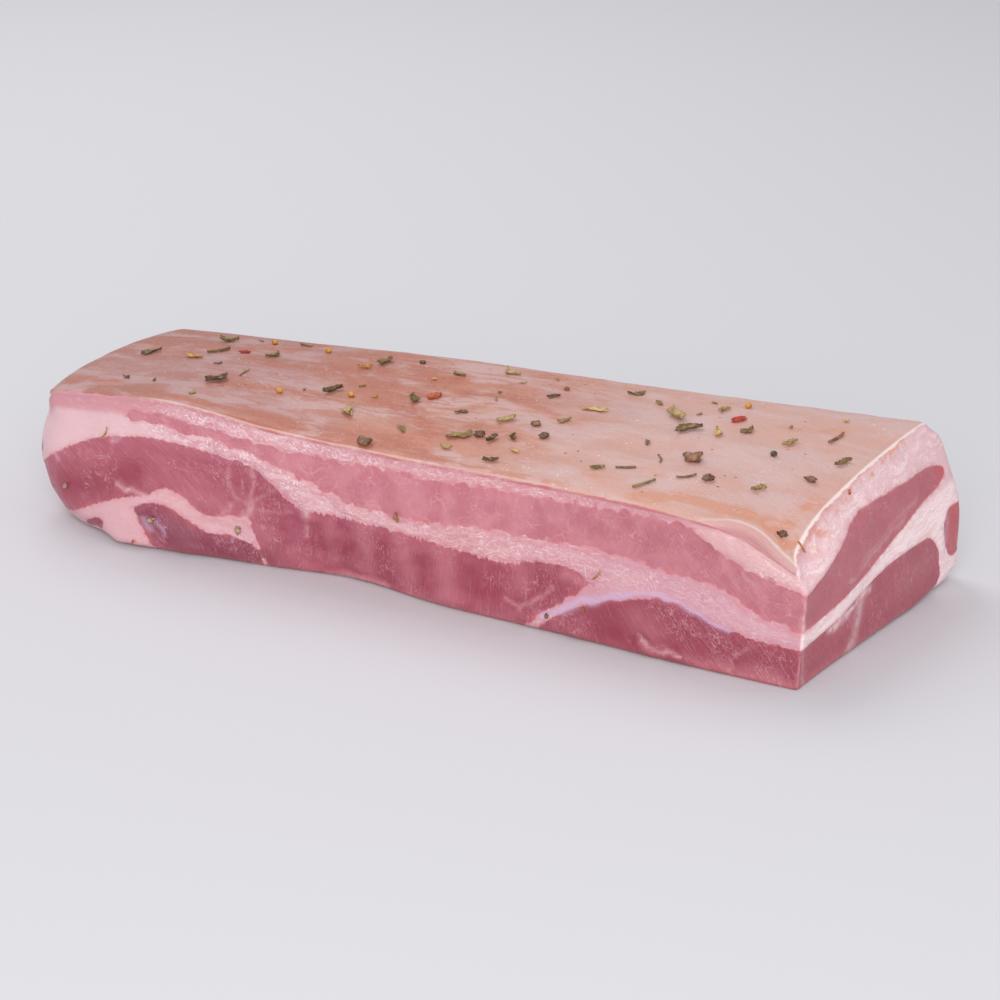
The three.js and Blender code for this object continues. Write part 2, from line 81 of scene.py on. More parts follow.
# The muscles, each a pillow between two skins with a rounded far edge. A skin is
# given by its heights at the near cut and deep inside, and where it has settled.
MUSCLES = {
    "upper_lean": {
        "far": [(-140, 28), (0, 34), (140, 43)],
        "roundness": 12,
        "top": {
            "settled": -6,
            "near": [(-108, 45), (-92, 47.3), (-50, 44.6), (0, 44.4), (60, 46),
                     (100, 45.2), (112, 39), (140, 30.3), (175, 20)],
            "deep": [(-108, 41), (0, 43), (140, 44.2), (175, 44.2)],
        },
        "bottom": {
            "settled": 50,
            "near": [(-108, 44.4), (-80, 43.2), (-45, 36.6), (-10, 28.9), (60, 31.6),
                     (112, 27.2), (125, 21.3), (140, 18.2), (175, 12)],
            "deep": [(-108, 40.4), (-70, 38), (0, 36), (140, 38), (175, 38)],
        },
    },
    "long_lower_lean": {
        "far": [(-175, 26), (69, 33)],
        "roundness": 13,
        "top": {
            "settled": 10,
            "near": [(-175, 10), (-150, 19), (-138, 26.6), (-120, 35), (-95, 38.8), (-56, 35.2),
                     (-38, 24.8), (-20, 25), (35, 21.4), (56, 24.8), (64, 23.6), (69, 20.6)],
            "deep": [(-175, 16), (-135, 29), (-90, 31), (0, 24), (69, 20.6)],
        },
        "bottom": {
            "settled": 10,
            "near": [(-175, 7), (-134, 5.5), (-123, 10.2), (-111, 15.6), (-104, 17.8), (-97, 19.4),
                     (-92, 22.4), (-86, 21.6), (-75, 15.4), (-60, 16.6), (-54, 5), (-48, -6), (40, -6),
                     (49, 3.4), (69, 20.2)],
            "deep": [(-175, 7), (-134, 6.5), (-110, 14.6), (-97, 18.2), (-75, 15.4), (-60, 16),
                     (-48, -6), (40, -6), (49, 3.4), (69, 20.2)],
        },
    },
    "right_lower_lean": {
        "far": [(46, 29), (140, 32.8)],
        "roundness": 9,
        "top": {
            "settled": 12,
            "near": [(44, -4.6), (60, 9.5), (84, 19), (96, 20.8), (118, 15), (140, 12.9), (175, 12)],
            "deep": [(44, -4.6), (60, 9.5), (84, 20), (110, 23), (140, 23.4), (175, 22)],
        },
        "bottom": {"settled": 12, "near": [(44, -6), (175, -6)], "deep": [(44, -6), (175, -6)]},
    },
    "small_lower_lean": {
        "far": [(-140, 18), (0, 24)],
        "roundness": 10,
        "top": {
            "settled": 10,
            "near": [(-101, 14.8), (-96, 17), (-89, 16.7), (-82, 13.6), (-77, 11.2), (-73, 9.8),
                     (-69, 10.4), (-64, 9.4), (-60, 4.6), (-56.5, -5)],
            "deep": [(-101, 13), (-97, 14.6), (-86, 13.4), (-73, 8.6), (-63, 7.4), (-56.5, -5)],
        },
        "bottom": {
            "settled": 10,
            "near": [(-101, 14.4), (-98.6, 11), (-95.6, 6.6), (-92.4, 1), (-89, -6),
                     (-56.5, -6)],
            "deep": [(-101, 12.6), (-98, 9), (-93, 1.6), (-89, -6), (-56.5, -6)],
        },
    },
}
BACK_STRIP = {
    "near": [(-80, 32.5), (0, 35), (140, 35.6)],
    "roundness": 5,
    "top": [(-80, 22.4), (-30, 25.2), (60, 26.6), (120, 28.8), (175, 28.8)],
    "bottom": [(-80, 21.6), (-30, 18), (60, 16.4), (120, 12), (175, 11.6)],
}

# ---------------------------------------------------------------- numbers


def lerp(start, end, share):
    return start + (end - start) * share


def ramp(start, end, value):
    """A smooth step from 0 at start to 1 at end, in either direction."""
    share = np.clip((value - start) / (end - start), 0, 1)
    return share * share * (3 - 2 * share)


def bell(distance):
    return np.exp(-distance * distance)


def curve(stations, place):
    """A smooth curve through (place, value) stations, level beyond its ends."""
    xs, ys = np.array(stations, float).T
    index = np.arange(len(xs))
    before = np.maximum(index - 1, 0)
    after = np.minimum(index + 1, len(xs) - 1)
    slopes = (ys[after] - ys[before]) / (xs[after] - xs[before])
    x = np.clip(place, xs[0], xs[-1])
    i = np.clip(np.searchsorted(xs, x, side="right") - 1, 0, len(xs) - 2)
    step = xs[i + 1] - xs[i]
    k = (x - xs[i]) / step
    return ((2 * k**3 - 3 * k**2 + 1) * ys[i]
            + (k**3 - 2 * k**2 + k) * step * slopes[i]
            + (3 * k**2 - 2 * k**3) * ys[i + 1]
            + (k**3 - k**2) * step * slopes[i + 1])


def random_stream(seed):
    """A seeded stream of numbers from 0 to 1."""
    span = 2**32
    state = seed
    while True:
        state = (state * 1664525 + 1013904223) % span
        yield state / span


def noise_at(points, grain, seed):
    """Smooth noise from -1 to 1 at points in millimetres, with a grain in millimetres."""
    shift = Vector((seed * 7.3, seed * -3.1, seed * 5.7))
    scaled = points / np.asarray(grain, float)
    return np.array([noise.noise(Vector(p) + shift) for p in scaled])


# --------------------------------------------------------------- the slab


def rind_height(along, side):
    """Height of the rind, which is crowned and droops at the near right corner."""
    level = lerp(curve(NEAR_RIND, along), curve(FAR_RIND, along), (side + 1) / 2)
    droop = CORNER_DROOP * bell((along - 142) / 16) * bell((side + 1) / 0.28)
    return level + CROWN * (1 - side * side) - droop


def near_side(along, height):
    """y of the near side, which leans back and swells or sinks in places."""
    y = NEAR_CUT + lerp(*NEAR_LEAN, height**0.7)
    for at, level, out, reach, rise in NEAR_SWELLS:
        y = y - out * bell((along - at) / reach) * bell((height - level) / rise)
    return y


def far_side(along, height):
    """y of the far side, which draws in to the rind's far edge."""
    return curve(FAR_EDGE, along) + FAR_BEVEL * ramp(1, 0.86, height)


def left_end(side, height):
    """x of the bulging left end."""
    skew = LEFT_SKEW * (side + 1)
    bow = LEFT_BOW * (1 - side * side)
    bulge = LEFT_BULGE * bell((height - 0.5) / 0.42) * (1 - 0.3 * side)
    return 1 - HALF_LENGTH - skew - bow - bulge


def right_end(side, height):
    """x of the right end, whose far edge lies further right, most of all at the foot."""
    out = RIGHT_SKEW * (1 - 0.85 * height**3)
    return HALF_LENGTH + out * ((side + 1) / 2) ** 1.1


def end_bevel(share, side, height):
    """How far the right end's upper edge leans back from the end."""
    back = ((side + 1) / 2) ** 1.6
    at_corner = bell((side + 1) / 0.1)
    rise = np.clip((height - 0.8) / 0.2, 0, 1) ** 1.4
    return END_BEVEL * (1 - back) * (1 - 0.5 * at_corner) * rise * ramp(0.75, 1, share)


def corner_radii(a, b, c):
    """Radii of the slab's roundings at box places a, b and c from -1 to 1, as three rows."""
    right, back, up = (a + 1) / 2, (b + 1) / 2, (c + 1) / 2
    rim = ramp(0.72, 0.97, up)
    # The left end is well rounded. The right end is a clean cut, sharpest at the near side.
    end_radius = np.where(a < 0, lerp(15, 5, rim), lerp(lerp(1.5, 7, back), 1.5, rim))
    near_radius = lerp(12, lerp(4, 1.6, ramp(0.75, 1, right)), ramp(0, 0.35, right))
    far_radius = lerp(12, 7, ramp(0.15, 0.5, up))
    side_radius = lerp(np.where(b < 0, near_radius, far_radius), 2, rim)
    # The foot is rounder at the left and the far side than at the near right corner.
    foot_along = lerp(lerp(4, 1.5, ramp(0.6, 1, right)), 9, back)
    foot = np.maximum(foot_along, lerp(13, 0, ramp(0, 0.2, right)))
    foot = lerp(foot, 2.5, ramp(0.93, 1, a) * (1 - ramp(0.3, 0.9, b)))
    return np.array([end_radius, side_radius, np.where(c < 0, foot, 2)])


def slab_points(box):
    """Points of the box from -1 to 1, an array of three rows, moved onto the slab.

    Gives the points in rows, and each point's place along, side and height.
    """
    halves = np.array([[HALF_LENGTH], [HALF_WIDTH], [THICKNESS / 2]])
    radii = corner_radii(*box)
    inner = np.clip(box * halves, radii - halves, halves - radii)
    past = (box * halves - inner) / radii
    furthest = np.abs(past).max(axis=0)
    reach = np.linalg.norm(past, axis=0)
    pull = np.where(reach > 0, furthest / np.maximum(reach, 1e-9), 0)
    s, side, w = (inner + radii * past * pull) / halves
    height = (w + 1) / 2
    along = s * HALF_LENGTH
    points = np.stack([
        lerp(left_end(side, height), right_end(side, height), (s + 1) / 2) - end_bevel(s, side, height),
        lerp(near_side(along, height), far_side(along, height), (side + 1) / 2),
        height * rind_height(along, side),
    ], axis=1)
    return points, along, side, height


def grid_lines(half_length, edges, step):
    """Grid lines from -1 to 1 over a length, closer together at the two edges."""
    flat = 2 * (half_length - edges[-1])
    count = round(flat / step)
    middle = [edges[-1] + flat * i / count for i in range(1, count)]
    left = [edge / half_length - 1 for edge in edges]
    return np.array(left + [m / half_length - 1 for m in middle] + [-e for e in reversed(left)])


def grid_quads(grid):
    """Quads between the vertex numbers of a grid."""
    corners = (grid[:-1, :-1], grid[1:, :-1], grid[1:, 1:], grid[:-1, 1:])
    return np.stack([corner.ravel() for corner in corners], axis=1)


def box_skin(lines):
    """The vertices (three rows) and quads of a closed box of grid lines."""
    counts = [len(line) for line in lines]
    index = np.indices(counts)
    on_skin = np.zeros(counts, bool)
    for axis in range(3):
        on_skin |= (index[axis] == 0) | (index[axis] == counts[axis] - 1)
    number = np.full(counts, -1)
    number[on_skin] = np.arange(on_skin.sum())
    vertices = np.stack([lines[axis][index[axis][on_skin]] for axis in range(3)])
    quads = []
    for axis in range(3):
        for end in (0, -1):
            face = grid_quads(np.take(number, end, axis=axis))
            outward = (end == -1) != (axis == 1)
            quads.append(face if outward else face[:, ::-1])
    return vertices, np.concatenate(quads)


# ------------------------------------------------------------ the muscles


def rounding(distance, radius):
    """The part of a muscle's thickness that is left this far from its rounded edge."""
    share = np.clip(distance / radius, 0, 1)
    return np.maximum(0.1, np.sqrt(1 - (1 - share) ** 2))


def skin_height(skin, along, y):
    """How high a muscle's upper or lower skin lies, at a place along it and a depth y."""
    settled = ramp(NEAR_CUT, skin["settled"], y)
    return lerp(curve(skin["near"], along), curve(skin["deep"], along), settled)


def muscle_depth(muscle, points):
    """How far points lie inside a muscle's skins, in mm; negative is outside."""
    x, y, z = points.T
    along = x - MUSCLE_SKEW * (y - NEAR_CUT)
    top, bottom = skin_height(muscle["top"], along, y), skin_height(muscle["bottom"], along, y)
    upper_half = z > (top + bottom) / 2
    slope = np.where(upper_half, skin_height(muscle["top"], along + 1, y) - top,
                     skin_height(muscle["bottom"], along + 1, y) - bottom)
    far = curve(muscle["far"], along)
    half = (top - bottom) / 2 * rounding(far - y, muscle["roundness"])
    inside = (half - np.abs(z - (top + bottom) / 2)) / np.sqrt(1 + slope * slope)
    first, last = muscle["top"]["near"][0][0], muscle["top"]["near"][-1][0]
    ends = np.minimum(np.minimum(along - first, last - along) + 1, far - y)
    outside = np.hypot(np.minimum(inside, 0), np.minimum(ends, 0))
    return np.where(outside > 0, -outside, np.minimum(inside, ends))


def strip_depth(points):
    """How far points lie inside the strip of muscle along the back, in mm."""
    x, y, z = points.T
    top, bottom = curve(BACK_STRIP["top"], x), curve(BACK_STRIP["bottom"], x)
    near = curve(BACK_STRIP["near"], x)
    half = (top - bottom) / 2 * rounding(y - near, BACK_STRIP["roundness"])
    inside = half - np.abs(z - (top + bottom) / 2)
    return np.minimum(np.minimum(inside, y - near), x - BACK_STRIP["top"][0][0])


# --------------------------------------------------- marks on the surface

# Marks are strokes: points along the stroke on the named side, in mm, with the
# stroke's half width and its strength. On the long sides a point is (x, z), on
# the ends (y, z) and on the rind (x, y).

# Pale seams of fat and sinew that cross the lean.
FAT_SEAMS = [
    ("near", [(-110.5, 21), (-106.7, 20.2), (-101.8, 19.4), (-96, 19)], 0.9, 0.95),
    ("near", [(-102, 19.2), (-95, 18.6)], 1.2, 0.8),
    ("near", [(-66.9, 36), (-66.3, 27), (-64.4, 23.5), (-58.8, 21.6)], 0.7, 0.4),
    ("near", [(-57.1, 36), (-57.3, 28), (-58.2, 19), (-60.5, 16)], 0.8, 0.5),
    ("near", [(-58, 22), (-59.6, 18), (-61, 15)], 1.6, 0.75),
    ("near", [(-57, 20.4), (-50, 20.8), (-42, 22.4)], 0.7, 0.36),
    ("near", [(-57.2, 23.1), (-51, 27), (-46.9, 30.5)], 0.6, 0.26),
    ("near", [(-62, 16), (-60.6, 19), (-58.4, 21)], 1.3, 0.6),
    ("near", [(-70, 16), (-68, 18), (-66, 21)], 1, 0.5),
    ("near", [(-113, 38), (-113.7, 34.6)], 0.8, 0.7),
    ("near", [(-110, 37.6), (-112.4, 35)], 0.7, 0.5),
    ("near", [(-140.5, 27), (-138, 23.4)], 0.8, 0.6),
    ("near", [(-35.7, 28), (-36, 23)], 2.3, 0.95),
    ("near", [(-36, 25), (-36.6, 20), (-37.8, 14)], 0.8, 0.5),
    ("near", [(39, 8.6), (44.5, 6.9), (50.9, 11.9), (54.9, 16.3)], 0.75, 0.5),
    ("near", [(-31, 0.4), (-20, 1.1), (-8, 1.7)], 1.1, 0.75),
    ("near", [(86.8, 7.2), (87.6, 5.6), (91, 4.2), (96, 3.4), (100.6, 2.6)], 0.5, 1),
    ("near", [(118.8, 0), (117.4, 6.6), (120, 9.6), (124.6, 11.6)], 0.6, 0.3),
    ("near", [(139.8, 36), (139.9, 26), (139.8, 14)], 1.1, 0.8),
    ("right", [(-50.5, 33), (-50.5, 16)], 1.3, 0.6),
    ("right", [(-34, 13.6), (-24, 15.4), (-12, 18.4)], 1.5, 0.8),
    ("right", [(-50, 13), (-50, 0)], 0.8, 0.25),
    ("near", [(139.8, 14), (139.8, 0)], 0.8, 0.25),
    ("near", [(112, 39), (114, 34), (118, 29)], 0.8, 0.4),
    ("near", [(118, 37), (121, 32), (126, 27), (127, 22)], 0.8, 0.4),
    ("near", [(98, 41), (100, 37), (104, 34)], 0.8, 0.3),
    ("right", [(-15.5, 17), (-18.5, 9), (-22.6, 1)], 2.2, 0.5),
    ("right", [(-24, 24.6), (-8, 29), (8, 33), (22, 38)], 0.7, 0.28),
    ("right", [(-16, 28.6), (0, 32.6), (14, 37)], 0.6, 0.24),
]
# Softer, lighter bands within the lean.
LIGHT_BANDS = [
    ("near", [(-14.7, 24), (-14, 1)], 3.4, 0.65),
    ("near", [(0, 24), (2.5, 1)], 3.6, 0.6),
    ("near", [(14, 24), (17, 12), (18, 1)], 4.6, 0.6),
    ("near", [(-28, 22), (-27, 6)], 2.6, 0.35),
    ("near", [(-54, 13), (-50, 3)], 5, 0.7),
    ("near", [(-44, 4), (-38, 3)], 5, 0.4),
    ("near", [(42, 21), (45, 15)], 3.6, 0.5),
    ("near", [(30, 3), (40, 3)], 3, 0.4),
    ("near", [(-82, 22), (-68, 18)], 3.4, 0.5),
    ("near", [(60, 22), (66, 20)], 3, 0.8),
    ("near", [(58, 4), (64, 6)], 5, 0.15),
    ("near", [(86, 12), (92, 9)], 5, 0.4),
    ("near", [(104, 3), (134, 3)], 2.6, 0.45),
    ("right", [(-30, 11), (-10, 14)], 3, 0.35),
    ("right", [(-46, 2), (10, 2)], 2, 0.4),
    ("right", [(4, 12), (24, 14)], 5, 0.4),
]
# Deeper, redder places of the lean.
DEEP_PLACES = [
    ("near", [(-134, 16), (-118, 20), (-104, 26)], 6, 0.8),
    ("near", [(-33, 14), (-24, 10)], 5, 0.5),
    ("near", [(-7, 15), (-6, 8)], 4.4, 0.6),
    ("near", [(9, 15), (9, 8)], 3.4, 0.5),
    ("near", [(28, 13), (34, 10)], 7, 0.8),
    ("near", [(46, 12), (52, 15)], 3, 0.4),
    ("near", [(70, 5), (78, 6)], 4, 0.5),
    ("near", [(98, 13), (112, 9)], 4.5, 0.7),
    ("near", [(84, 4), (88, 2.6), (98, 1.4)], 1.3, 1),
    ("near", [(118.6, 0), (117.6, 6)], 1.2, 0.8),
    ("right", [(-40, 7), (-28, 8)], 4, 0.5),
    ("right", [(-8, 7), (12, 8)], 4, 0.5),
]
# Lilac silverskin; the two weak strokes near x -95 are a painted sheen on the small lower muscle.
SILVERSKIN_AND_SHEEN = [
    ("near", [(53, 6.6), (58.7, 9.3), (64.9, 13.1), (71.3, 15.6), (77.4, 17.8), (82.9, 20.2)], 1.2, 1),
    ("near", [(82.9, 20.2), (87.5, 21.5), (91.7, 21.7), (96.9, 20.7), (101.1, 19.4), (105.8, 18),
              (111, 16.2), (116.2, 14.8)], 0.8, 0.9),
    ("near", [(-98, 12), (-96.6, 9.8), (-94.6, 8.4)], 1, 0.45),
    ("near", [(-93, 11.6), (-90.6, 9.4), (-89.4, 7)], 0.8, 0.5),
    ("right", [(34, 13), (36.5, 18), (38, 26)], 1.3, 0.4),
]
# Wet places, where painted highlights make the flesh and fat glisten in short crackled glints.
PAINTED_GLINT_PLACES = [
    ("near", [(-68, 8), (-61, 7.6), (-57, 6.4), (-58, 3)], 3.4, 1),
    ("near", [(-112, 36), (-96, 24)], 1.2, 0.5),
    ("near", [(-134, 27), (-122, 20)], 1.2, 0.5),
    ("near", [(40, 3), (54, 6), (66, 5)], 5, 0.6),
    ("near", [(98, 17), (112, 12), (128, 9)], 6, 0.7),
    ("near", [(-92, 49.6), (-50, 47.4), (-10, 46.4)], 3, 1),
    ("near", [(-10, 46.4), (40, 47.6), (90, 47)], 2.4, 0.5),
    ("near", [(-98, 42), (-74, 40.6), (-50, 37), (-32, 28), (-10, 26.6)], 4, 1),
    ("near", [(-10, 26.6), (40, 27), (58, 27.6)], 3.4, 0.6),
    ("near", [(50, 27), (66, 25), (84, 26), (110, 22)], 4, 0.55),
    ("near", [(126, 34), (138, 30)], 5, 0.7),
    ("right", [(-50, 34), (-30, 40), (0, 46), (30, 50)], 5, 0.7),
    ("right", [(-50, 15.5), (-20, 19), (10, 26), (36, 32)], 2.6, 0.8),
]
# Mauve, duskier flesh.
DUSKY = [
    ("near", [(-99, 14), (-90, 10), (-82, 6), (-74, 4), (-54, 3)], 7, 1),
    ("near", [(-123, 5), (-117, 7)], 3.4, 0.9),
    ("near", [(88, 2), (104, 1)], 2, 0.6),
]
# Small islands of muscle in the fat.
LEAN_BITS = [
    ("near", [(-122, 4.6), (-119, 6.8), (-115.4, 6.6)], 2.3, 1),
    ("near", [(-67, 2.4), (-62.4, 5.4), (-57, 4)], 4.6, 1),
    ("near", [(-105.4, 45.4), (-99, 46), (-90, 45.4), (-80, 44.2)], 2.2, 1),
]
# Leaf-shaped layers of muscle on the far side and the left end, each by its middle
# line, whose first number rises, and its greatest half height.
LEAN_LEAVES = [
    ("far", [(-104, 19), (-50, 16), (0, 20), (60, 22), (100, 26), (150, 24)], 8.2),
    ("far", [(-92, 8.6), (-40, 6.4), (26, 8.4)], 1.7),
    ("far", [(-122, 29), (-84, 33), (-30, 30)], 2.8),
    ("far", [(-52, 38), (-4, 40), (62, 36.6)], 2.4),
    ("far", [(44, 41), (96, 40), (140, 42)], 1.9),
    ("left", [(-56, 20), (-36, 29), (-10, 34), (20, 33)], 5),
    ("left", [(-8, 25), (12, 22), (40, 25)], 2.8),
    ("left", [(-30, 14), (-2, 11), (30, 12.6)], 2.4),
    ("left", [(-30, 42), (-4, 44.6), (26, 42)], 1.2),
]
RIND_STAINS = [
    ("rind", [(-94, -47), (-84, -46.5), (-74, -45)], 2, 0.75),
    ("rind", [(-70, -44.5), (-58, -43), (-46, -45)], 3, 0.9),
    ("rind", [(-48, -47), (-40, -47.4)], 1.8, 0.7),
    ("rind", [(-40, -46), (-28, -45.4), (-18, -44)], 3.4, 0.95),
    ("rind", [(-20, -46), (-8, -43), (2, -45)], 4.2, 0.75),
    ("rind", [(6, -47.4), (22, -47.6), (40, -48), (58, -48)], 2.2, 0.6),
    ("rind", [(82, -46), (92, -41), (98, -39.4), (108, -40.4), (116, -39.6)], 3.6, 0.85),
    ("rind", [(88, -42), (92, -40)], 2.6, 0.5),
    ("rind", [(122, -38), (126, -39), (130, -40.4)], 3.4, 0.9),
    ("rind", [(126, -38), (128, -30), (131, -20)], 2.6, 0.65),
    ("rind", [(-138, -38), (-128, -38.4), (-118, -40)], 2.2, 0.6),
    ("rind", [(-132, 4), (-124, 0), (-116, 2)], 4, 0.6),
    ("rind", [(-118, 10), (-108, 10), (-98, 16), (-86, 20)], 5, 0.75),
    ("rind", [(-104, 20), (-92, 28), (-84, 30)], 4, 0.6),
    ("rind", [(-88, -30), (-76, -24), (-66, -22)], 2.6, 0.6),
    ("rind", [(-70, -22), (-58, -20), (-50, -21)], 2.8, 0.7),
    ("rind", [(-82, -2), (-70, 4), (-60, 6)], 4, 0.6),
    ("rind", [(-60, 8), (-46, 2), (-34, 0), (-22, -4)], 6, 0.8),
    ("rind", [(-66, 28), (-52, 26), (-36, 24), (-18, 14)], 6, 0.8),
    ("rind", [(-44, 12), (-30, 12), (-20, 8)], 6, 0.6),
    ("rind", [(-30, -14), (-16, -18), (-6, -26), (2, -32)], 4.4, 0.75),
    ("rind", [(-6, 4), (6, 8), (14, 7), (28, 0), (36, -4)], 3.6, 0.7),
    ("rind", [(10, -20), (24, -22), (36, -28)], 4.4, 0.55),
    ("rind", [(40, 0), (52, 4)], 4, 0.35),
    ("rind", [(10, 26), (24, 24)], 4, 0.35),
    ("rind", [(72, -29), (82, -30.4)], 2.4, 0.45),
    ("rind", [(60, -38), (68, -41)], 2.4, 0.4),
    ("rind", [(104, 20), (112, 21), (122, 26)], 2.4, 0.5),
    ("rind", [(60, 32), (84, 34)], 3, 0.35),
    ("rind", [(34, 34), (46, 35)], 2.4, 0.4),
]
# Greyer, pinker places of the rind.
GREY_PATCHES = [
    ("rind", [(-132, -22), (-112, -18), (-92, -12), (-70, -6)], 11, 0.9),
    ("rind", [(-76, -36), (-50, -33), (-34, -34)], 6, 0.6),
    ("rind", [(-120, 28), (-96, 32)], 8, 0.6),
    ("rind", [(-84, 12), (-70, 18)], 8, 0.5),
    ("rind", [(30, 14), (50, 16)], 8, 0.35),
]
# Orange smears on the fat just under the rind of the right end.
SMEARS = [
    ("right", [(-38, 41.8), (-33, 44), (-29, 45.2)], 2.2, 0.95),
    ("right", [(-26, 45.6), (-14, 48), (-2, 49.8)], 1.2, 0.6),
    ("right", [(6, 51), (14, 52), (24, 52.8), (30, 53.2)], 1.5, 0.85),
]
# The fold where the rind droops at the near right corner: its crest, as (x, y).
FOLD_CREST = [(98, -50), (103, -49), (108, -47.2), (112, -44.8), (117, -43.2), (122.5, -42.7),
              (126, -43.5), (130, -44.7), (134, -46), (140, -48)]
# Grooves in the long side, and scraps and swellings that stand out from it.
CLEFTS = [
    ("near", [(118.8, -1), (118, 4), (117.4, 6.6)], 0.9, 1),
    ("near", [(84, 5), (86.6, 6.8), (90, 4.6), (95, 1)], 0.9, 0.9),
    ("near", [(-113, 37), (-113.6, 34)], 0.9, 0.5),
    ("near", [(103, 46), (113, 45), (120, 44), (126, 42), (133, 39), (137, 37)], 0.9, 0.9),
    ("near", [(-33, 2.6), (-20, 3.6), (-8, 4)], 0.9, 0.5),
    ("near", [(-98, 15), (-93, 9.6), (-88.6, 4.6)], 0.9, 0.7),
]
FLAPS = [
    ("near", [(-30, 1), (-20, 1.6), (-10, 1.8)], 1.3, 0.7),
    ("near", [(84, 2.6), (92, 2), (104, 1)], 1.6, 0.9),
    ("near", [(56, 3), (66, 2.6)], 2, 0.5),
    ("near", [(-110, 8), (-102, 9)], 6, 0.6),
    ("near", [(-96, 13), (-84, 6)], 3, 0.4),
]
# The marks that the material reads, each by the name of its attribute.
MARKS = {
    "seam": FAT_SEAMS,
    "band": LIGHT_BANDS,
    "deep": DEEP_PLACES,
    "silverskin_and_sheen": SILVERSKIN_AND_SHEEN,
    # where painted highlights go
    "painted_glint_places": PAINTED_GLINT_PLACES,
    "dusky": DUSKY,
    "stain": RIND_STAINS,
    "grey": GREY_PATCHES,
    "smear": SMEARS,
}
# How far the muscle fibres lean over to the left from upright, in degrees, by x.
FIBRE_LEAN = [(-140, 46), (-100, 40), (-30, 0), (40, 0), (60, 24), (100, 42), (140, 30)]


def stroke_mark(surface, strokes):
    """The strength, from 0 to 1, of a set of strokes at every point of the surface."""
    x, y, z = (surface["points"] + surface["wobble"]).T
    planes = {"near": (x, z), "right": (y, z), "rind": (x, y), "far": (x, z), "left": (y, z)}
    mark = np.zeros(len(x))
    for side, path, half_width, strength in strokes:
        p, q = planes[side]
        nearest = np.full(len(x), 1e9)
        for (p0, q0), (p1, q1) in zip(path, path[1:]):
            span = (p1 - p0) ** 2 + (q1 - q0) ** 2
            share = np.clip(((p - p0) * (p1 - p0) + (q - q0) * (q1 - q0)) / span, 0, 1)
            nearest = np.minimum(nearest, np.hypot(p - lerp(p0, p1, share), q - lerp(q0, q1, share)))
        mark = np.maximum(mark, strength * bell(nearest / half_width) * surface["facing"][side])
    return mark


def leaf_depth(surface):
    """How deep points lie within the layers of muscle on the hidden sides, in mm."""
    swing = 3.2 * noise_at(surface["points"], grain=24, seed=9)
    x, y, z = (surface["points"] + surface["wobble"]).T
    planes = {"far": (x, z + swing), "left": (y, z + swing)}
    out_of_reach = 9
    depth = np.full(len(x), -float(out_of_reach))
    for side, path, half_height in LEAN_LEAVES:
        p, q = planes[side]
        share = ramp(path[0][0], path[-1][0], p)
        thick = half_height * np.sqrt(4 * share * (1 - share)) - 2 * (share * (1 - share) == 0)
        turned_away = 1 - surface["facing"][side]
        inside = thick - np.abs(q - curve(path, p)) - out_of_reach * turned_away
        depth = np.maximum(depth, inside)
    return depth


def fold_depth(surface):
    """How far points lie outside the crest of the corner's fold, in mm."""
    x, y, _ = surface["points"].T
    off_fold = -8
    share = ramp(97, 104, x) * ramp(140, 136, x) * (surface["edge"] < 1.5)
    return lerp(off_fold, curve(FOLD_CREST, x) - y, share)


def layer_place(surface):
    """A height that stays the same along the layers of fat, which follow the upper muscle."""
    x, y, z = surface["points"].T
    along = x - MUSCLE_SKEW * (y - NEAR_CUT)
    top, bottom = (skin_height(MUSCLES["upper_lean"][skin], along, y) for skin in ("top", "bottom"))
    return z - (top + bottom) / 2


def grain_place(surface):
    """A coordinate that stays the same along the muscle fibres seen at the cut sides."""
    x, y, z = surface["points"].T
    return x + y + z * np.tan(np.radians(curve(FIBRE_LEAN, x)))


# -------------------------------------------------- meshes and objects


def in_frame(points):
    """Points of the form, in millimetres, as places in the shared frame in metres."""
    return (np.asarray(points) - BOX_CENTRE) * METRES


def mesh_of(name, points, faces):
    """A smooth mesh of points in the shared frame."""
    mesh = bpy.data.meshes.new(name)
    mesh.from_pydata(points, [], faces)
    mesh.polygons.foreach_set("use_smooth", np.ones(len(mesh.polygons), bool))
    mesh.update()
    return mesh


def added(name, data):
    """A new object of the scene."""
    thing = bpy.data.objects.new(name, data)
    bpy.context.scene.collection.objects.link(thing)
    return thing


def normals_of(mesh):
    """The normal at every vertex, in rows."""
    normals = np.zeros(len(mesh.vertices) * 3)
    mesh.vertices.foreach_get("normal", normals)
    return normals.reshape(-1, 3)


# ----------------------------------------------------------- the belly


def belly_surface():
    """The fine skin of the slab, with what its looks depend on at every point."""
    halves = (HALF_LENGTH, HALF_WIDTH, THICKNESS / 2)
    lines = [grid_lines(half, SKIN_INSETS, step) for half, step in zip(halves, SKIN_STEPS)]
    box, quads = box_skin(lines)
    points, along, side, height = slab_points(box)
    wobble = np.stack([noise_at(points, grain=5, seed=seed) for seed in (5, 6, 7)], axis=1)
    inset = np.minimum(HALF_WIDTH * (1 - np.abs(side)), HALF_LENGTH - np.abs(along))
    cream_end = ramp(2.2, 0.6, HALF_LENGTH - along)
    cream_side = 0.4 * ramp(-110, -90, along) * ramp(40, -20, along)
    depths = [muscle_depth(muscle, points) for muscle in MUSCLES.values()] + [strip_depth(points)]
    return {
        "points": points,
        "quads": quads,
        "wobble": 1.4 * wobble,
        "edge": (1 - height) * rind_height(along, side) - inset,
        "cream": np.maximum(cream_end, cream_side),
        "lean": np.max(depths, axis=0),
        "upper": (np.argmax(depths, axis=0) == 0).astype(float),
    }


def add_facing(surface, normals):
    """How squarely every point faces each side that has marks."""
    x, y, z = normals.T
    surface["normals"] = normals
    surface["facing"] = {
        "near": ramp(0.3, 0.7, -y),
        "far": ramp(0.3, 0.7, y),
        "left": ramp(0.4, 0.7, -x),
        "right": ramp(0.4, 0.7, x),
        "rind": ramp(0.7, 0.9, z),
    }


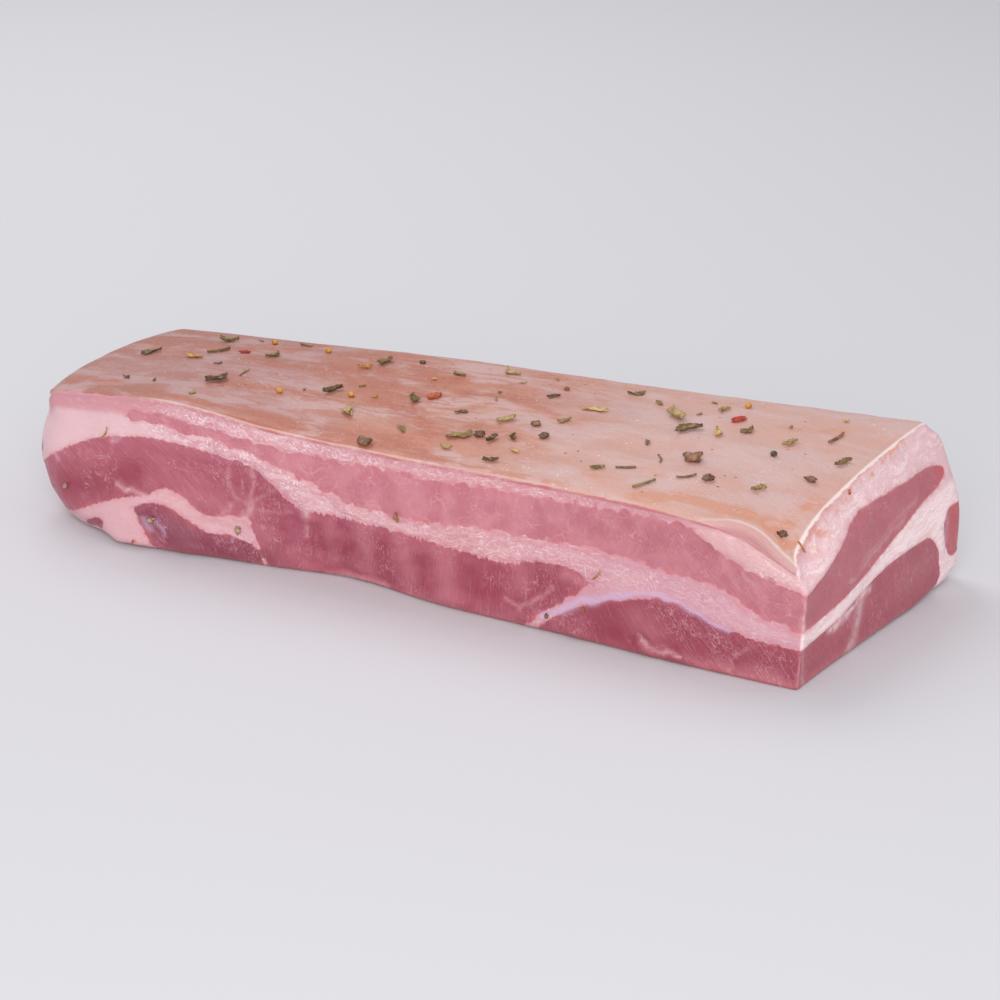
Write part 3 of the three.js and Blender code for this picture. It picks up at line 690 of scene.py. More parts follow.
def relief(surface):
    """How far every point stands out from the plain form, in mm."""
    points, edge, fold = surface["points"], surface["edge"], surface["fold"]
    x, _, z = points.T
    rind = surface["facing"]["rind"]
    lean = ramp(-0.8, 1.2, surface["lean"])
    lip = 0.4 * bell((edge - 0.9) / 0.9) - 0.45 * bell((edge - 3) / 1.1)
    waves = 0.5 * noise_at(points, grain=17, seed=1) + 0.2 * noise_at(points, grain=6, seed=2)
    ribs = 0.14 * noise_at(points, grain=(2.6, 2.6, 12), seed=3) * lean
    swell = 0.45 * noise_at(points, grain=(34, 12, 12), seed=4) * rind
    crest = 0.35 * bell((fold + 0.4) / 0.9) - 1.1 * ramp(0.4, 3.4, fold)
    foot = 1.1 * noise_at(points, grain=(9, 9, 7), seed=8) * ramp(10, 2, z)
    out = (1 - rind) * (lip + waves - 0.3 * lean + ribs) + swell + crest * ramp(101, 108, x)
    out = out + foot * surface["facing"]["near"]
    out = out - 0.9 * stroke_mark(surface, CLEFTS) + stroke_mark(surface, FLAPS)
    return out * ramp(0.2, 3, z)


def make_belly():
    """The skin, which stands for all six solids, with its marks as attributes."""
    surface = belly_surface()
    mesh = mesh_of("belly", in_frame(surface["points"]).tolist(), surface["quads"].tolist())
    add_facing(surface, normals_of(mesh))
    surface["fold"] = fold_depth(surface)
    surface["lean"] = np.maximum(surface["lean"], 4 * stroke_mark(surface, LEAN_BITS) - 2)
    surface["lean"] = np.maximum(surface["lean"], leaf_depth(surface))
    shaped = surface["points"] + surface["normals"] * relief(surface)[:, None]
    shaped[:, 2] = np.maximum(shaped[:, 2], 0)
    mesh.vertices.foreach_set("co", in_frame(shaped).ravel())
    mesh.update()
    marks = {name: surface[name] for name in ("lean", "upper", "edge", "cream", "fold")}
    marks.update({name: stroke_mark(surface, strokes) for name, strokes in MARKS.items()})
    marks["grain"] = grain_place(surface)
    marks["layer"] = layer_place(surface)
    marks["end"] = surface["facing"]["right"]
    marks["far"] = surface["facing"]["far"]
    for name, values in marks.items():
        attribute = mesh.attributes.new(name, "FLOAT", "POINT")
        attribute.data.foreach_set("value", values.astype(np.float32))
    belly = added("belly", mesh)
    mesh.materials.append(belly_material())
    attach(belly, "root")
    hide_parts("fat_and_rind", "upper_lean", "long_lower_lean",
                "right_lower_lean", "small_lower_lean", "back_lean")
    return belly


# ----------------------------------------------------------- shader parts


class Nodes:
    """Short calls for building one material's nodes."""

    def __init__(self, name):
        self.material = bpy.data.materials.new(name)
        self.material.use_nodes = True
        self.tree = self.material.node_tree
        self.shader = self.tree.nodes["Principled BSDF"]
        to_mm = (1 / METRES,) * 3
        self.position = self.scaled(self.node("TexCoord", {}, "Object"), to_mm)

    def feed(self, node, values):
        """Link or set a node's inputs."""
        for key, value in values.items():
            if isinstance(value, bpy.types.NodeSocket):
                self.tree.links.new(value, node.inputs[key])
            else:
                node.inputs[key].default_value = value

    def node(self, kind, inputs, output=0, **settings):
        """An output of a new node with these settings and inputs."""
        node = self.tree.nodes.new("ShaderNode" + kind)
        for name, value in settings.items():
            setattr(node, name, value)
        self.feed(node, inputs)
        return node.outputs[output]

    def scaled(self, vector, factors):
        """A vector with each axis scaled."""
        return self.node("VectorMath", {0: vector, 1: factors}, operation="MULTIPLY")

    def place(self, first, second, third, factors):
        """A vector of three numbers, each scaled."""
        return self.scaled(self.node("CombineXYZ", {0: first, 1: second, 2: third}), factors)

    def separate(self, vector):
        node = self.tree.nodes.new("ShaderNodeSeparateXYZ")
        self.feed(node, {0: vector})
        return node.outputs

    def attribute(self, name, output="Fac"):
        return self.node("Attribute", {}, output, attribute_name=name)

    def noise(self, scale, detail=3, vector=None, roughness=0.55, distortion=0.0, output="Fac"):
        """Noise from 0 to 1 of a vector, whose axes are scaled."""
        factors = scale if isinstance(scale, tuple) else (scale, scale, scale)
        inputs = {"Vector": self.scaled(vector or self.position, factors), "Scale": 1,
                  "Detail": detail, "Roughness": roughness, "Distortion": distortion}
        return self.node("TexNoise", inputs, output)

    def cells(self, scale, feature, vector=None):
        """A distance within cells: F1 from their middles, or DISTANCE_TO_EDGE."""
        inputs = {"Vector": self.scaled(vector or self.position, scale), "Scale": 1}
        return self.node("TexVoronoi", inputs, "Distance", feature=feature)

    def math(self, operation, first, second=0.0):
        return self.node("Math", {0: first, 1: second}, operation=operation)

    def times(self, first, *others):
        """The product of several values."""
        for other in others:
            first = self.math("MULTIPLY", first, other)
        return first

    def step(self, value, start, end, low=0.0, high=1.0):
        """A smooth step of value from low at start to high at end."""
        inputs = {"Value": value, "From Min": start, "From Max": end, "To Min": low, "To Max": high}
        return self.node("MapRange", inputs, interpolation_type="SMOOTHSTEP")

    def mix(self, share, first, second, blend="MIX"):
        inputs = {"Factor": share, "A": first, "B": second}
        return self.node("Mix", inputs, "Result", data_type="RGBA", blend_type=blend)

    def paint(self, colour, shade, *shares):
        """The colour under a coat of a shade, whose share is the product of the shares."""
        return self.mix(self.times(*shares), colour, srgb(*shade))

    def coated(self, colour, shades, coats):
        """The colour under several coats, each the name of its shade and its shares."""
        for name, *shares in coats:
            colour = self.paint(colour, shades[name], *shares)
        return colour

    def blend(self, shades, *shares):
        """The first shade, under each next one by its share."""
        colour = srgb(*shades[0])
        for shade, share in zip(shades[1:], shares):
            colour = self.paint(colour, shade, share)
        return colour

    def bump(self, height, distance, strength):
        inputs = {"Height": height, "Distance": distance * METRES, "Strength": strength}
        return self.node("Bump", inputs, "Normal")


def srgb(red, green, blue):
    """A display colour from 0 to 255, as the linear colour that a shader takes."""
    def linear(value):
        value /= 255
        return value / 12.92 if value <= 0.04045 else ((value + 0.055) / 1.055) ** 2.4
    return (linear(red), linear(green), linear(blue), 1)


# ------------------------------------------------------- belly material


# Colours on the display, from 0 to 255. Several in one entry run from the left end
# of the slab to the right, or from where a pattern is low to where it is high.
RIND_SHADES = {
    "pale": [(187, 144, 143), (203, 160, 153), (209, 172, 167)],
    "dull": [(168, 102, 84), (192, 124, 100), (208, 162, 150)],
    "stain": [(180, 100, 76), (208, 142, 114)],
    "mottle": [(178, 104, 86), (202, 148, 134)],
    "grey": (182, 136, 136),
    "speck": (116, 84, 60),
    "fleck": (222, 188, 178),
    "cut edge": (240, 220, 212),
    # a painted highlight
    "painted shine": (246, 232, 226),
}
FOLD_SHADES = {
    "cut face": [(208, 162, 162), (198, 138, 142)],
    "streak": (212, 154, 136),
    "crest": (236, 216, 210),
}
FAT_SHADES = {
    "streaks": [(204, 142, 151), (226, 180, 185)],
    "middle": (203, 138, 145),
    "right": (198, 144, 158),
    "heart": (232, 194, 197),
    "under rind": (206, 138, 147),
    "wedge": (218, 174, 174),
    "cream": (230, 192, 196),
    "end": (240, 204, 205),
    # partly a painted highlight
    "thread and glint": (244, 216, 220),
    "sheet": (252, 226, 226),
    "fringe": (210, 130, 138),
    "smear": (216, 140, 108),
    # a painted highlight
    "painted glint": (252, 236, 238),
    "red line": (188, 98, 98),
    # silverskin, with a painted sheen
    "silverskin and sheen": (203, 174, 204),
}
LEAN_SHADES = {
    "upper middle": [(192, 114, 126), (204, 132, 142)],
    "upper right": [(178, 102, 114), (190, 118, 128)],
    "lower": [(158, 68, 87), (174, 91, 108)],
    "lower left": (192, 108, 124),
    "lower right": (146, 55, 75),
    "deep": (150, 54, 74),
    "band": (192, 114, 126),
    "dusky": (130, 54, 74),
    "end": (184, 98, 110),
    "back strip": (198, 92, 98),
    "vein": (224, 166, 172),
    "wall": (228, 172, 180),
    "light fibre": (222, 160, 166),
    "dark fibre": (146, 56, 74),
    # partly a painted highlight
    "hair and glint": (236, 194, 196),
    # a painted highlight
    "painted glint": (232, 190, 198),
    # silverskin, with a painted sheen
    "silverskin and sheen": (206, 178, 208),
    "rim": (206, 104, 104),
    # a painted glow, for light through the thin foot
    "foot": (200, 116, 116),
}
SPECKS = (0.17, 0.17, 0.17)  # cells to the millimetre, each with one speck of ground spice
BUNDLES = (0.2, 0.2, 0.24)  # cells of muscle bundles to the millimetre
FIBRE_SCALE = (2.2, 1, 1)
WARP_SCALE = 0.2
WARP_REACH = 3.2  # how far the cells' walls are pushed about, in mm
VEIN_WIDTH = 0.014  # as a part of the noise that the veins run in


def rind_colour(n):
    """Peach skin with orange-brown stains, greyer pink patches, a cream cut edge and painted shine."""
    x, _, _ = n.separate(n.position)
    middle, right = n.step(x, -110, -10), n.step(x, -10, 80)
    pale, dull = (n.blend(RIND_SHADES[name], middle, right) for name in ("pale", "dull"))
    cloud = n.step(n.noise((0.035, 0.08, 0.08), 4, distortion=0.5), 0.4, 0.6)
    colour = n.paint(n.mix(cloud, pale, dull), RIND_SHADES["grey"], n.attribute("grey"), 0.7)
    ragged = n.step(n.noise((0.09, 0.26, 0.26), 6, distortion=1.4), 0.42, 0.54, 0.4, 1.6)
    stain = n.math("MINIMUM", n.times(n.attribute("stain"), ragged), 0.84)
    colour = n.mix(stain, colour, n.blend(RIND_SHADES["stain"], right))
    mottle = n.step(n.noise((0.08, 0.25, 0.25), 6, distortion=0.9), 0.49, 0.58, 0, 0.5)
    mottle = n.times(mottle, n.step(x, -10, 60, 1, 0.45))
    colour = n.mix(mottle, colour, n.blend(RIND_SHADES["mottle"], right))
    specks = n.step(n.cells(SPECKS, "F1"), 0.1, 0.06)
    # Painted highlights: short pale streaks of shine on the rind.
    painted_shine = n.step(n.noise((1.6, 0.5, 1), 2), 0.68, 0.74)
    return n.coated(colour, RIND_SHADES, [
        ("speck", specks, n.step(n.noise(0.07, 2), 0.46, 0.52), 0.8),
        ("fleck", n.step(n.noise(0.9, 3), 0.6, 0.75, 0, 0.3)),
        ("cut edge", n.step(n.attribute("edge"), -0.4, 0.2), n.attribute("cream")),
        # painted highlight
        ("painted shine", painted_shine, n.step(n.noise(0.06, 2), 0.5, 0.62)),
    ])


def fold_colour(n, skin):
    """The pinkish cut of the rind below the crest of the corner's fold."""
    x, _, _ = n.separate(n.position)
    fold = n.attribute("fold")
    streak = n.step(n.noise((0.08, 1.2, 1.2), 3), 0.4, 0.65, 0, 0.35)
    cut_face = n.blend(FOLD_SHADES["cut face"], n.step(fold, 1.4, 4.6))
    cut_face = n.paint(cut_face, FOLD_SHADES["streak"], streak)
    skin = n.mix(n.step(fold, 0.2, 0.9), skin, cut_face)
    crest = n.times(n.step(fold, -0.9, 0.1), n.step(fold, 0.9, 0.1), n.step(x, 98, 116, 0.3, 1))
    return n.paint(skin, FOLD_SHADES["crest"], crest, 0.5)


def painted_glints(n):
    """Painted highlights: short slanting glints, in clumps where the surface is wet."""
    x, y, z = n.separate(n.position)
    run = n.math("ADD", x, y)
    height = n.times(z, n.step(n.attribute("end"), 0, 1, 1, -1))
    slant = n.place(n.math("ADD", run, height), n.math("SUBTRACT", run, height), y, (1.1, 0.42, 0.5))
    fine = n.step(n.noise(1.5, 3, slant, roughness=0.6, distortion=0.5), 0.51, 0.62)
    clumps = n.step(n.noise(0.16, 3), 0.36, 0.58, 0.3, 1)
    return n.times(fine, clumps, n.attribute("painted_glint_places"))


def fat_colour(n):
    """Pink to white fat, with streaks and threads that run along the muscles, the threads partly
    painted glints, and painted glints in wet places.
    """
    x, y, _ = n.separate(n.position)
    layer, edge, lean, end = (n.attribute(name) for name in ("layer", "edge", "lean", "end"))
    off_end = n.step(end, 1, 0)
    wander = n.step(n.noise(0.12, 3), 0.25, 0.75, -1.6, 1.6)
    along_muscle = n.node("CombineXYZ", {0: n.math("ADD", x, y), 1: n.math("ADD", layer, wander)})
    contrast = n.times(n.step(x, -112, -84, 0.2, 1), n.step(layer, -26, -14, 0.25, 1))
    streaks = n.noise((0.045, 0.42, 1), 5, along_muscle, distortion=0.4)
    light = n.math("ADD", n.times(n.math("SUBTRACT", streaks, 0.5), contrast), 0.5)
    # Pale threads along the muscles: partly the fat's own fibres, partly painted glints.
    threads_and_glints = n.step(n.noise((0.3, 1.7, 1), 4, along_muscle, distortion=0.3), 0.5, 0.64)
    threads_and_glints = n.times(threads_and_glints, contrast, n.step(n.noise(0.1, 3), 0.3, 0.6, 0.3, 0.7))
    strands = n.noise((0.07, 0.7, 1), 5, along_muscle, distortion=0.15)
    below = n.times(n.step(layer, -3, -7), n.step(strands, 0.36, 0.6, 0.4, 1))
    above = n.times(n.step(layer, 2, 6), n.step(strands, 0.46, 0.66, 0, 0.6))
    red = n.times(n.step(edge, 2.2, 1.3), off_end, n.step(x, -110, -50))
    return n.coated(n.blend(FAT_SHADES["streaks"], n.step(light, 0.36, 0.64)), FAT_SHADES, [
        ("middle", n.step(x, -60, 20, 0, 0.65)),
        ("right", n.step(x, 30, 100, 0, 0.7)),
        ("heart", n.step(lean, -1, -3.4), n.step(n.noise(0.05, 3), 0.35, 0.6), 0.45),
        ("under rind", n.step(edge, 8.5, 4.5), n.step(x, -50, -110, 0.3, 1), 0.75),
        ("wedge", n.step(x, 86, 104), n.step(layer, 1, 4), off_end, 0.7),
        ("cream", n.step(edge, 6, 8.6), n.step(x, -84, -108), n.step(edge, 30, 20, 0.2, 1), 0.75),
        ("end", end, 0.65),
        # pale threads, partly painted glints
        ("thread and glint", threads_and_glints, n.step(x, 40, 90, 0.85, 0.35), n.step(n.attribute("far"), 0, 1, 1, 0.4)),
        ("sheet", end, n.math("MAXIMUM", below, above)),
        ("fringe", n.step(lean, -1.8, 0.2), n.step(n.noise(0.3, 3), 0.35, 0.65, 0, 0.5)),
        ("smear", n.attribute("smear"), n.step(n.noise(0.4, 4), 0.42, 0.6)),
        # painted highlights in the wet places
        ("painted glint", painted_glints(n), 0.7),
        ("red line", red, n.step(n.noise(0.08, 2), 0.35, 0.65, 0.35, 0.85)),
        # silverskin, and a painted sheen on the small lower muscle
        ("silverskin and sheen", n.attribute("silverskin_and_sheen"), 0.8),
    ])


def crooked_lines(n):
    """Thin, crooked veins, where a noise crosses its middle."""
    off = n.math("ABSOLUTE", n.math("SUBTRACT", n.noise(BUNDLES, 2, distortion=0.8), 0.5))
    return n.step(off, VEIN_WIDTH, VEIN_WIDTH * 0.2)


def fibre_grain(n):
    """A vector that changes quickly across the muscle fibres and slowly along them."""
    _, y, z = n.separate(n.position)
    return n.place(n.attribute("grain"), y, z, (1, 0.3, 0.2))


def lean_colour(n):
    """Dusty pink upper and raspberry lower muscle, with pale veins and fibres, fibre hairs that are
    partly painted sheen, painted glints and a painted glow at the foot.
    """
    x, y, z = n.separate(n.position)
    upper_part, end = n.attribute("upper"), n.attribute("end")
    grain = fibre_grain(n)
    patchy = n.step(n.noise(0.11, 4), 0.35, 0.65)
    upper = [n.blend(LEAN_SHADES[name], patchy) for name in ("upper middle", "upper right")]
    cloud = n.step(n.noise((0.12, 1, 1), 4, grain), 0.34, 0.66)
    lower = n.coated(n.blend(LEAN_SHADES["lower"], cloud), LEAN_SHADES, [
        ("lower left", n.step(x, -45, -100, 0, 0.5)),
        ("lower right", n.step(x, 24, 70, 0, 0.8)),
        ("deep", n.attribute("deep")),
        ("band", n.attribute("band")),
    ])
    colour = n.mix(upper_part, lower, n.mix(n.step(x, 20, 110), *upper))
    patches = n.step(n.noise(0.09, 2), 0.44, 0.62)
    walls = n.step(n.cells(BUNDLES, "DISTANCE_TO_EDGE", warped(n)), 0.07, 0.01)
    walls = n.times(walls, n.step(n.noise(0.2, 3), 0.44, 0.66), n.step(end, 1, 0))
    fibres = n.noise(FIBRE_SCALE, 3, grain)
    # Fine pale hairs along the fibres, partly a painted sheen of glints.
    hairs_and_glints = n.noise((3.2, 0.9, 3), 2, grain)
    strength = n.step(upper_part, 0, 1, 1, 0.2)
    rim = n.step(n.attribute("lean"), 2.6, 0.2)
    return n.coated(colour, LEAN_SHADES, [
        ("dusky", n.attribute("dusky"), 0.9),
        ("end", end, 0.6),
        ("back strip", end, n.step(y, 40, 44), 0.7),
        ("vein", crooked_lines(n), patches, 0.42),
        ("wall", walls, upper_part, n.step(x, 100, 30, 0.14, 0.34)),
        ("light fibre", n.step(fibres, 0.55, 0.74, 0, 0.22), strength),
        ("dark fibre", n.step(fibres, 0.46, 0.28, 0, 0.25), strength),
        # pale hairs along the fibres, partly painted sheen
        ("hair and glint", n.step(hairs_and_glints, 0.6, 0.68), patches, strength, 0.38),
        # painted highlights in the wet places
        ("painted glint", painted_glints(n), 0.4),
        # silverskin, and a painted sheen on the small lower muscle
        ("silverskin and sheen", n.attribute("silverskin_and_sheen")),
        ("rim", rim, n.step(n.noise(0.2, 3), 0.4, 0.65), 0.35),
        # Painted glow: lighter, redder lean in the lowest 4 mm, for light shining through the thin
        # foot.
        ("foot", n.step(z, 4, 0, 0, 0.4)),
    ])


def warped(n):
    """The position pushed about by noise, so that cells lose their straight walls."""
    push = n.noise(WARP_SCALE, 2, roughness=0.5, output="Color")
    return n.node("VectorMath", {0: n.position, 1: n.scaled(push, (WARP_REACH,) * 3)}, operation="ADD")


def lean_share(n):
    """How far a point is lean rather than fat, with the border's small lobes and fray."""
    x, _, _ = n.separate(n.position)
    upper, end = n.attribute("upper"), n.attribute("end")
    lobes = n.step(n.cells(BUNDLES, "F1", warped(n)), 0.1, 0.8, 0.6, -1.1)
    lobes = n.times(lobes, n.step(upper, 0, 1, 0.55, 1), n.step(end, 0, 1, 1, 0.15),
                    n.step(x, -105, -60, 0.1, 1))
    fray = n.times(n.step(n.noise(0.7, 3), 0.3, 0.7, -0.28, 0.28), n.step(end, 1, 0, 0.3, 1))
    depth = n.attribute("lean")
    for change in (lobes, fray, fibre_teeth(n)):
        depth = n.math("ADD", depth, change)
    seams = n.times(n.attribute("seam"), n.step(n.noise(0.5, 3), 0.3, 0.6, 0.5, 1.1))
    seams = n.math("MAXIMUM", seams, n.step(n.attribute("silverskin_and_sheen"), 0.55, 0.75))
    off_seams = n.math("SUBTRACT", 1.0, n.math("MINIMUM", seams, 0.95))
    return n.times(n.step(depth, -0.4, 0.4), off_seams)


def fibre_teeth(n):
    """How far the ends of the fibres fray the border of the long lower muscle."""
    x, y, z = n.separate(n.position)
    along_fibre = n.place(n.attribute("grain"), y, z, (1, 0.3, 0.12))
    teeth = n.step(n.noise((1.1, 1, 1), 3, along_fibre), 0.32, 0.68, -0.9, 0.4)
    where = n.times(n.step(x, -62, -44), n.step(x, 54, 40), n.step(n.attribute("upper"), 1, 0))
    return n.times(teeth, where, n.step(n.noise(0.1, 2), 0.35, 0.6, 0.3, 1))


def rind_share(n):
    """How far a point is rind, whose cut edge on the sides is thin and wanders a little."""
    thickness = n.step(n.attribute("end"), 0, 1, 0.7, 0.5)
    wander = n.step(n.noise((0.2, 0.2, 0.5), 3), 0.3, 0.7, -0.3, 0.3)
    depth = n.math("SUBTRACT", n.attribute("edge"), n.math("ADD", thickness, wander))
    return n.step(depth, 0.3, -0.3)


def belly_material():
    n = Nodes("raw_belly")
    lean, rind = lean_share(n), rind_share(n)
    meat = n.mix(lean, fat_colour(n), lean_colour(n))
    fibres = n.noise(FIBRE_SCALE, 3, fibre_grain(n))
    pores = n.noise((0.9, 1.4, 1.2), 5)
    height = n.mix(rind, n.mix(lean, n.noise((0.5, 1, 1.2), 4), fibres), pores)
    rough = n.step(n.noise(0.5, 4), 0.3, 0.7, 0.27, 0.45)
    n.feed(n.shader, {
        "Base Color": n.mix(rind, meat, fold_colour(n, rind_colour(n))),
        "Roughness": n.math("ADD", rough, n.times(rind, 0.08)),
        "Normal": n.bump(height, 0.5, 0.5),
        "Subsurface Weight": 0.18,
        "Subsurface Radius": (1, 0.35, 0.25),
        "Subsurface Scale": 2 * METRES,
        "Specular IOR Level": 0.45,
    })
    return n.material


# ------------------------------------------------------------ the herbs

SEED_SIZE = 2.4
# The larger bits on the rind: kind, x, y, length and heading in degrees.
PLACED_HERBS = [
    ("leaf", -130, -5, 8, 60),
    ("petal", -111, -5, 7, -6),
    ("stalk", -108, 6, 9.5, 68),
    ("leaf", -115, 23, 7, 20),
    ("chilli", -98, 8, 4, 30),
    ("leaf", -87, 9, 6, 80),
    ("leaf", -88, -25, 8.5, 75),
    ("stalk", -84, -14, 7, 95),
    ("leaf", -48, 22, 8, 100),
    ("leaf", -48, -14, 7.5, 50),
    ("leaf", -33, -28, 8, -60),
    ("crumb", -16, -47, 5, 0),
    ("leaf", -19, -9, 7, 110),
    ("chilli", -14, -4, 6, 65),
    ("leaf", 10, -30, 9, 60),
    ("leaf", 18, -12, 7, 70),
    ("leaf", 28, -42, 5, 35),
    ("leaf", -2, 31, 7.5, -30),
    ("petal", 40, 9, 9, 25),
    ("leaf", 46, 30, 6, 30),
    ("leaf", 68, 14, 9.5, -60),
    ("leaf", 76, 5, 9.5, 50),
    ("crumb", 87, -16, 6, 35),
    ("stalk", 70, -30, 6.5, 23),
    ("stalk", 80, -38, 8.5, 60),
    ("stalk", 90, -28, 6.5, 38),
    ("chilli", 88, 19, 5.5, 50),
    ("petal", 86, 6, 6.5, 95),
    ("leaf", 110, 9, 5.5, 46),
    ("stalk", 122, 19, 9, 80),
    ("stalk", -86, 30, 6.5, -20),
    ("seed", -73, 24, SEED_SIZE, 0),
    ("seed", -97, 26, SEED_SIZE, 0),
    ("petal", -51, 13, 5, 20),
    ("seed", -40, -15, SEED_SIZE, 0),
    ("leaf", 1, -12, 4.5, 20),
    ("leaf", -10, -33, 4.5, 150),
    ("leaf", 10, -39, 4, 10),
    ("crumb", 16, -27, 3.6, 20),
    ("leaf", 21, -28, 5, 60),
    ("leaf", 27, -24, 4.5, 110),
    ("crumb", 29, -12, 3.4, 0),
    ("leaf", 36, -5, 5, 40),
    ("crumb", 36, -20, 3.4, 60),
    ("petal", 32, -33, 3.6, 0),
    ("leaf", -17, 20, 5, 160),
    ("leaf", 22, 15, 4.6, 30),
    ("leaf", 62, -34, 4.6, 10),
    ("stalk", 77, -20, 5.6, 120),
    ("crumb", 97, -27, 3.4, 30),
    ("leaf", 80, 26, 4.6, 50),
    ("leaf", 94, 12, 5.6, 70),
    ("leaf", 113, -25, 4.8, 30),
    ("crumb", 125, -11, 3.4, 0),
    ("leaf", 130, 4, 6, 40),
    ("crumb", 127, -39, 3, 0),
]
# Bits that cling to the cut sides: kind, side, place on it, length and heading.
SIDE_HERBS = [
    ("stalk", "near", -116.9, 37.5, 4.6, 62),
    ("crumb", "near", -133.4, 15.4, 2.2, 70),
    ("crumb", "near", -95, 11.4, 2.6, 20),
    ("crumb", "near", -62.8, 12.3, 2.6, 90),
    ("leaf", "near", -1.2, 29, 3.4, 110),
    ("stalk", "near", 70.8, 23.8, 4, 55),
    ("crumb", "near", 54.2, 6.4, 1.8, 80),
    ("leaf", "near", 66.8, 11.6, 2, 120),
    ("chilli", "near", -100.6, 3.6, 1.8, 40),
    ("chilli", "right", -8.6, 48.8, 1.9, 60),
    ("stalk", "right", -39.6, 41.4, 4, 100),
]
# The smaller bits, strewn over a field of the rind.
SMALL_HERBS = {"count": 24, "seed": 20, "min_length": 2, "max_length": 4.2, "spacing": 7.5}
SMALL_KINDS = ["leaf", "leaf", "leaf", "stalk", "leaf", "petal", "leaf", "seed", "leaf", "crumb"]
HERB_FIELD = {"left": -124, "right": 124, "near": -43, "far": 34}
# Width of each kind as a share of its length, and its least width.
HERB_FORMS = {
    "leaf": (0.42, 0.9),
    "stalk": (0.14, 0.8),
    "petal": (0.36, 1),
    "chilli": (0.5, 1.1),
    "crumb": (0.82, 1.4),
    "seed": (0.95, 1.8),
}
# Height as a share of the length, and roughness, of the kinds that are lumps.
LUMPS = {"chilli": (0.3, 0.5), "crumb": (0.55, 0.7), "seed": (0.8, 0.05)}
# Colours of each kind, one of which a herb draws.
HERB_COLOURS = {
    "leaf": [(164, 138, 86), (186, 160, 104), (132, 104, 64), (148, 126, 76), (112, 84, 56),
             (204, 176, 120)],
    "stalk": [(128, 100, 64), (200, 168, 122), (150, 130, 80), (164, 116, 78)],
    "petal": [(228, 172, 92), (234, 198, 124), (214, 146, 78)],
    "chilli": [(190, 62, 42), (208, 92, 56)],
    "crumb": [(152, 104, 82), (112, 80, 62), (136, 100, 80)],
    "seed": [(228, 160, 62), (92, 70, 54)],
}
# The same for the bits on the cut sides, which the meat keeps moist.
SIDE_COLOURS = {
    "leaf": [(188, 132, 84), (168, 112, 76)],
    "stalk": [(196, 126, 74), (204, 140, 84)],
    "crumb": [(186, 140, 118), (150, 104, 92), (196, 160, 136)],
    "chilli": [(206, 84, 52)],
}
DRY_COLOUR = (206, 182, 138)  # the pale tan that herbs dry to
LEAF_GRID = (15, 7)  # points along and across
LEAF_THICKNESS = 0.14
STALK_GRID = (8, 6)  # rings, and points in each
LUMP_GRID = (7, 10)


def strewn_herbs(draw):
    """The small herbs, drawn as the CAD source draws them."""
    herbs = []
    laid = list(PLACED_HERBS)
    while len(herbs) < SMALL_HERBS["count"]:
        size = next(draw) * next(draw)
        kind = SMALL_KINDS[int(next(draw) * len(SMALL_KINDS))]
        x = lerp(HERB_FIELD["left"], HERB_FIELD["right"], next(draw))
        y = lerp(HERB_FIELD["near"], HERB_FIELD["far"], next(draw))
        length = lerp(SMALL_HERBS["min_length"], SMALL_HERBS["max_length"], size)
        heading = 360 * next(draw)
        if kind == "seed":
            length = SEED_SIZE
        if all(math.hypot(other[1] - x, other[2] - y) > SMALL_HERBS["spacing"] for other in laid):
            herbs.append((kind, x, y, length, heading))
            laid.append(herbs[-1])
    return herbs


def herb_frame(belly, side, first, second, heading):
    """A frame on a side of the belly, its third axis square to the surface.

    On the rind a place is (x, y), on the near side (x, z) and on the right end (y, z).
    """
    level = math.radians(heading)
    run, rise = math.cos(level), math.sin(level)
    outside, way, ahead = {
        "rind": ((first, second, 100), (0, 0, -1), Vector((run, rise, 0))),
        "near": ((first, -120, second), (0, 1, 0), Vector((run, 0, rise))),
        "right": ((220, first, second), (-1, 0, 0), Vector((0, run, rise))),
    }[side]
    hit, spot, up, _ = belly.ray_cast(Vector(in_frame(outside)), Vector(way))
    if not hit:
        raise ValueError(f"nothing under the herb at {first}, {second} of the {side} side")
    ahead = (ahead - up * ahead.dot(up)).normalized()
    across = up.cross(ahead)
    turn = Matrix((ahead, across, up)).transposed().to_4x4()
    return Matrix.Translation(spot) @ turn


def leaf_form(length, width, draw):
    """A torn, curled scrap of leaf, cupped with its edges and ends curled up."""
    rows, columns = LEAF_GRID
    curl = lerp(0.3, 1.1, next(draw))
    twist = lerp(-0.7, 0.7, next(draw))
    seed = 100 * next(draw)
    top = []
    for row in range(rows):
        u = 2 * row / (rows - 1) - 1
        waist = (1 - abs(u) ** 1.8) ** 0.6 if abs(u) < 1 else 0
        middle = 0.3 * width * math.sin(2.4 * u + seed)
        for column in range(columns):
            v = 2 * column / (columns - 1) - 1
            tear = 1 + 0.8 * noise.noise(Vector((u * 3.4, 0.8 * (v > 0), seed)))
            x = u * length / 2 * (1 + 0.2 * noise.noise(Vector((v * 2, seed, u))))
            y = v * width / 2 * max(waist, 0.12) * tear + middle
            z = 0.25 + curl * abs(v) ** 1.5 * width * 0.4 + 0.16 * curl * u * u * length * 0.5
            z += 0.3 * noise.noise(Vector((x * 1.1, y * 1.4, seed))) + twist * u * v * width * 0.35
            top.append((x, y, z))
    bottom = [(x, y, z - LEAF_THICKNESS) for x, y, z in top]
    return top + bottom, sheet_faces(rows, columns)


def sheet_faces(rows, columns):
    """Quads of a thin closed sheet: a top grid, a bottom grid and the rim."""
    grid = np.arange(rows * columns).reshape(rows, columns)
    top = grid_quads(grid)
    rim = np.concatenate([grid[0], grid[1:, -1], grid[-1, -2::-1], grid[-2:0:-1, 0]])
    following = np.roll(rim, -1)
    walls = np.stack([rim, following, following + grid.size, rim + grid.size], axis=1)
    return np.concatenate([top, top[:, ::-1] + grid.size, walls]).tolist()


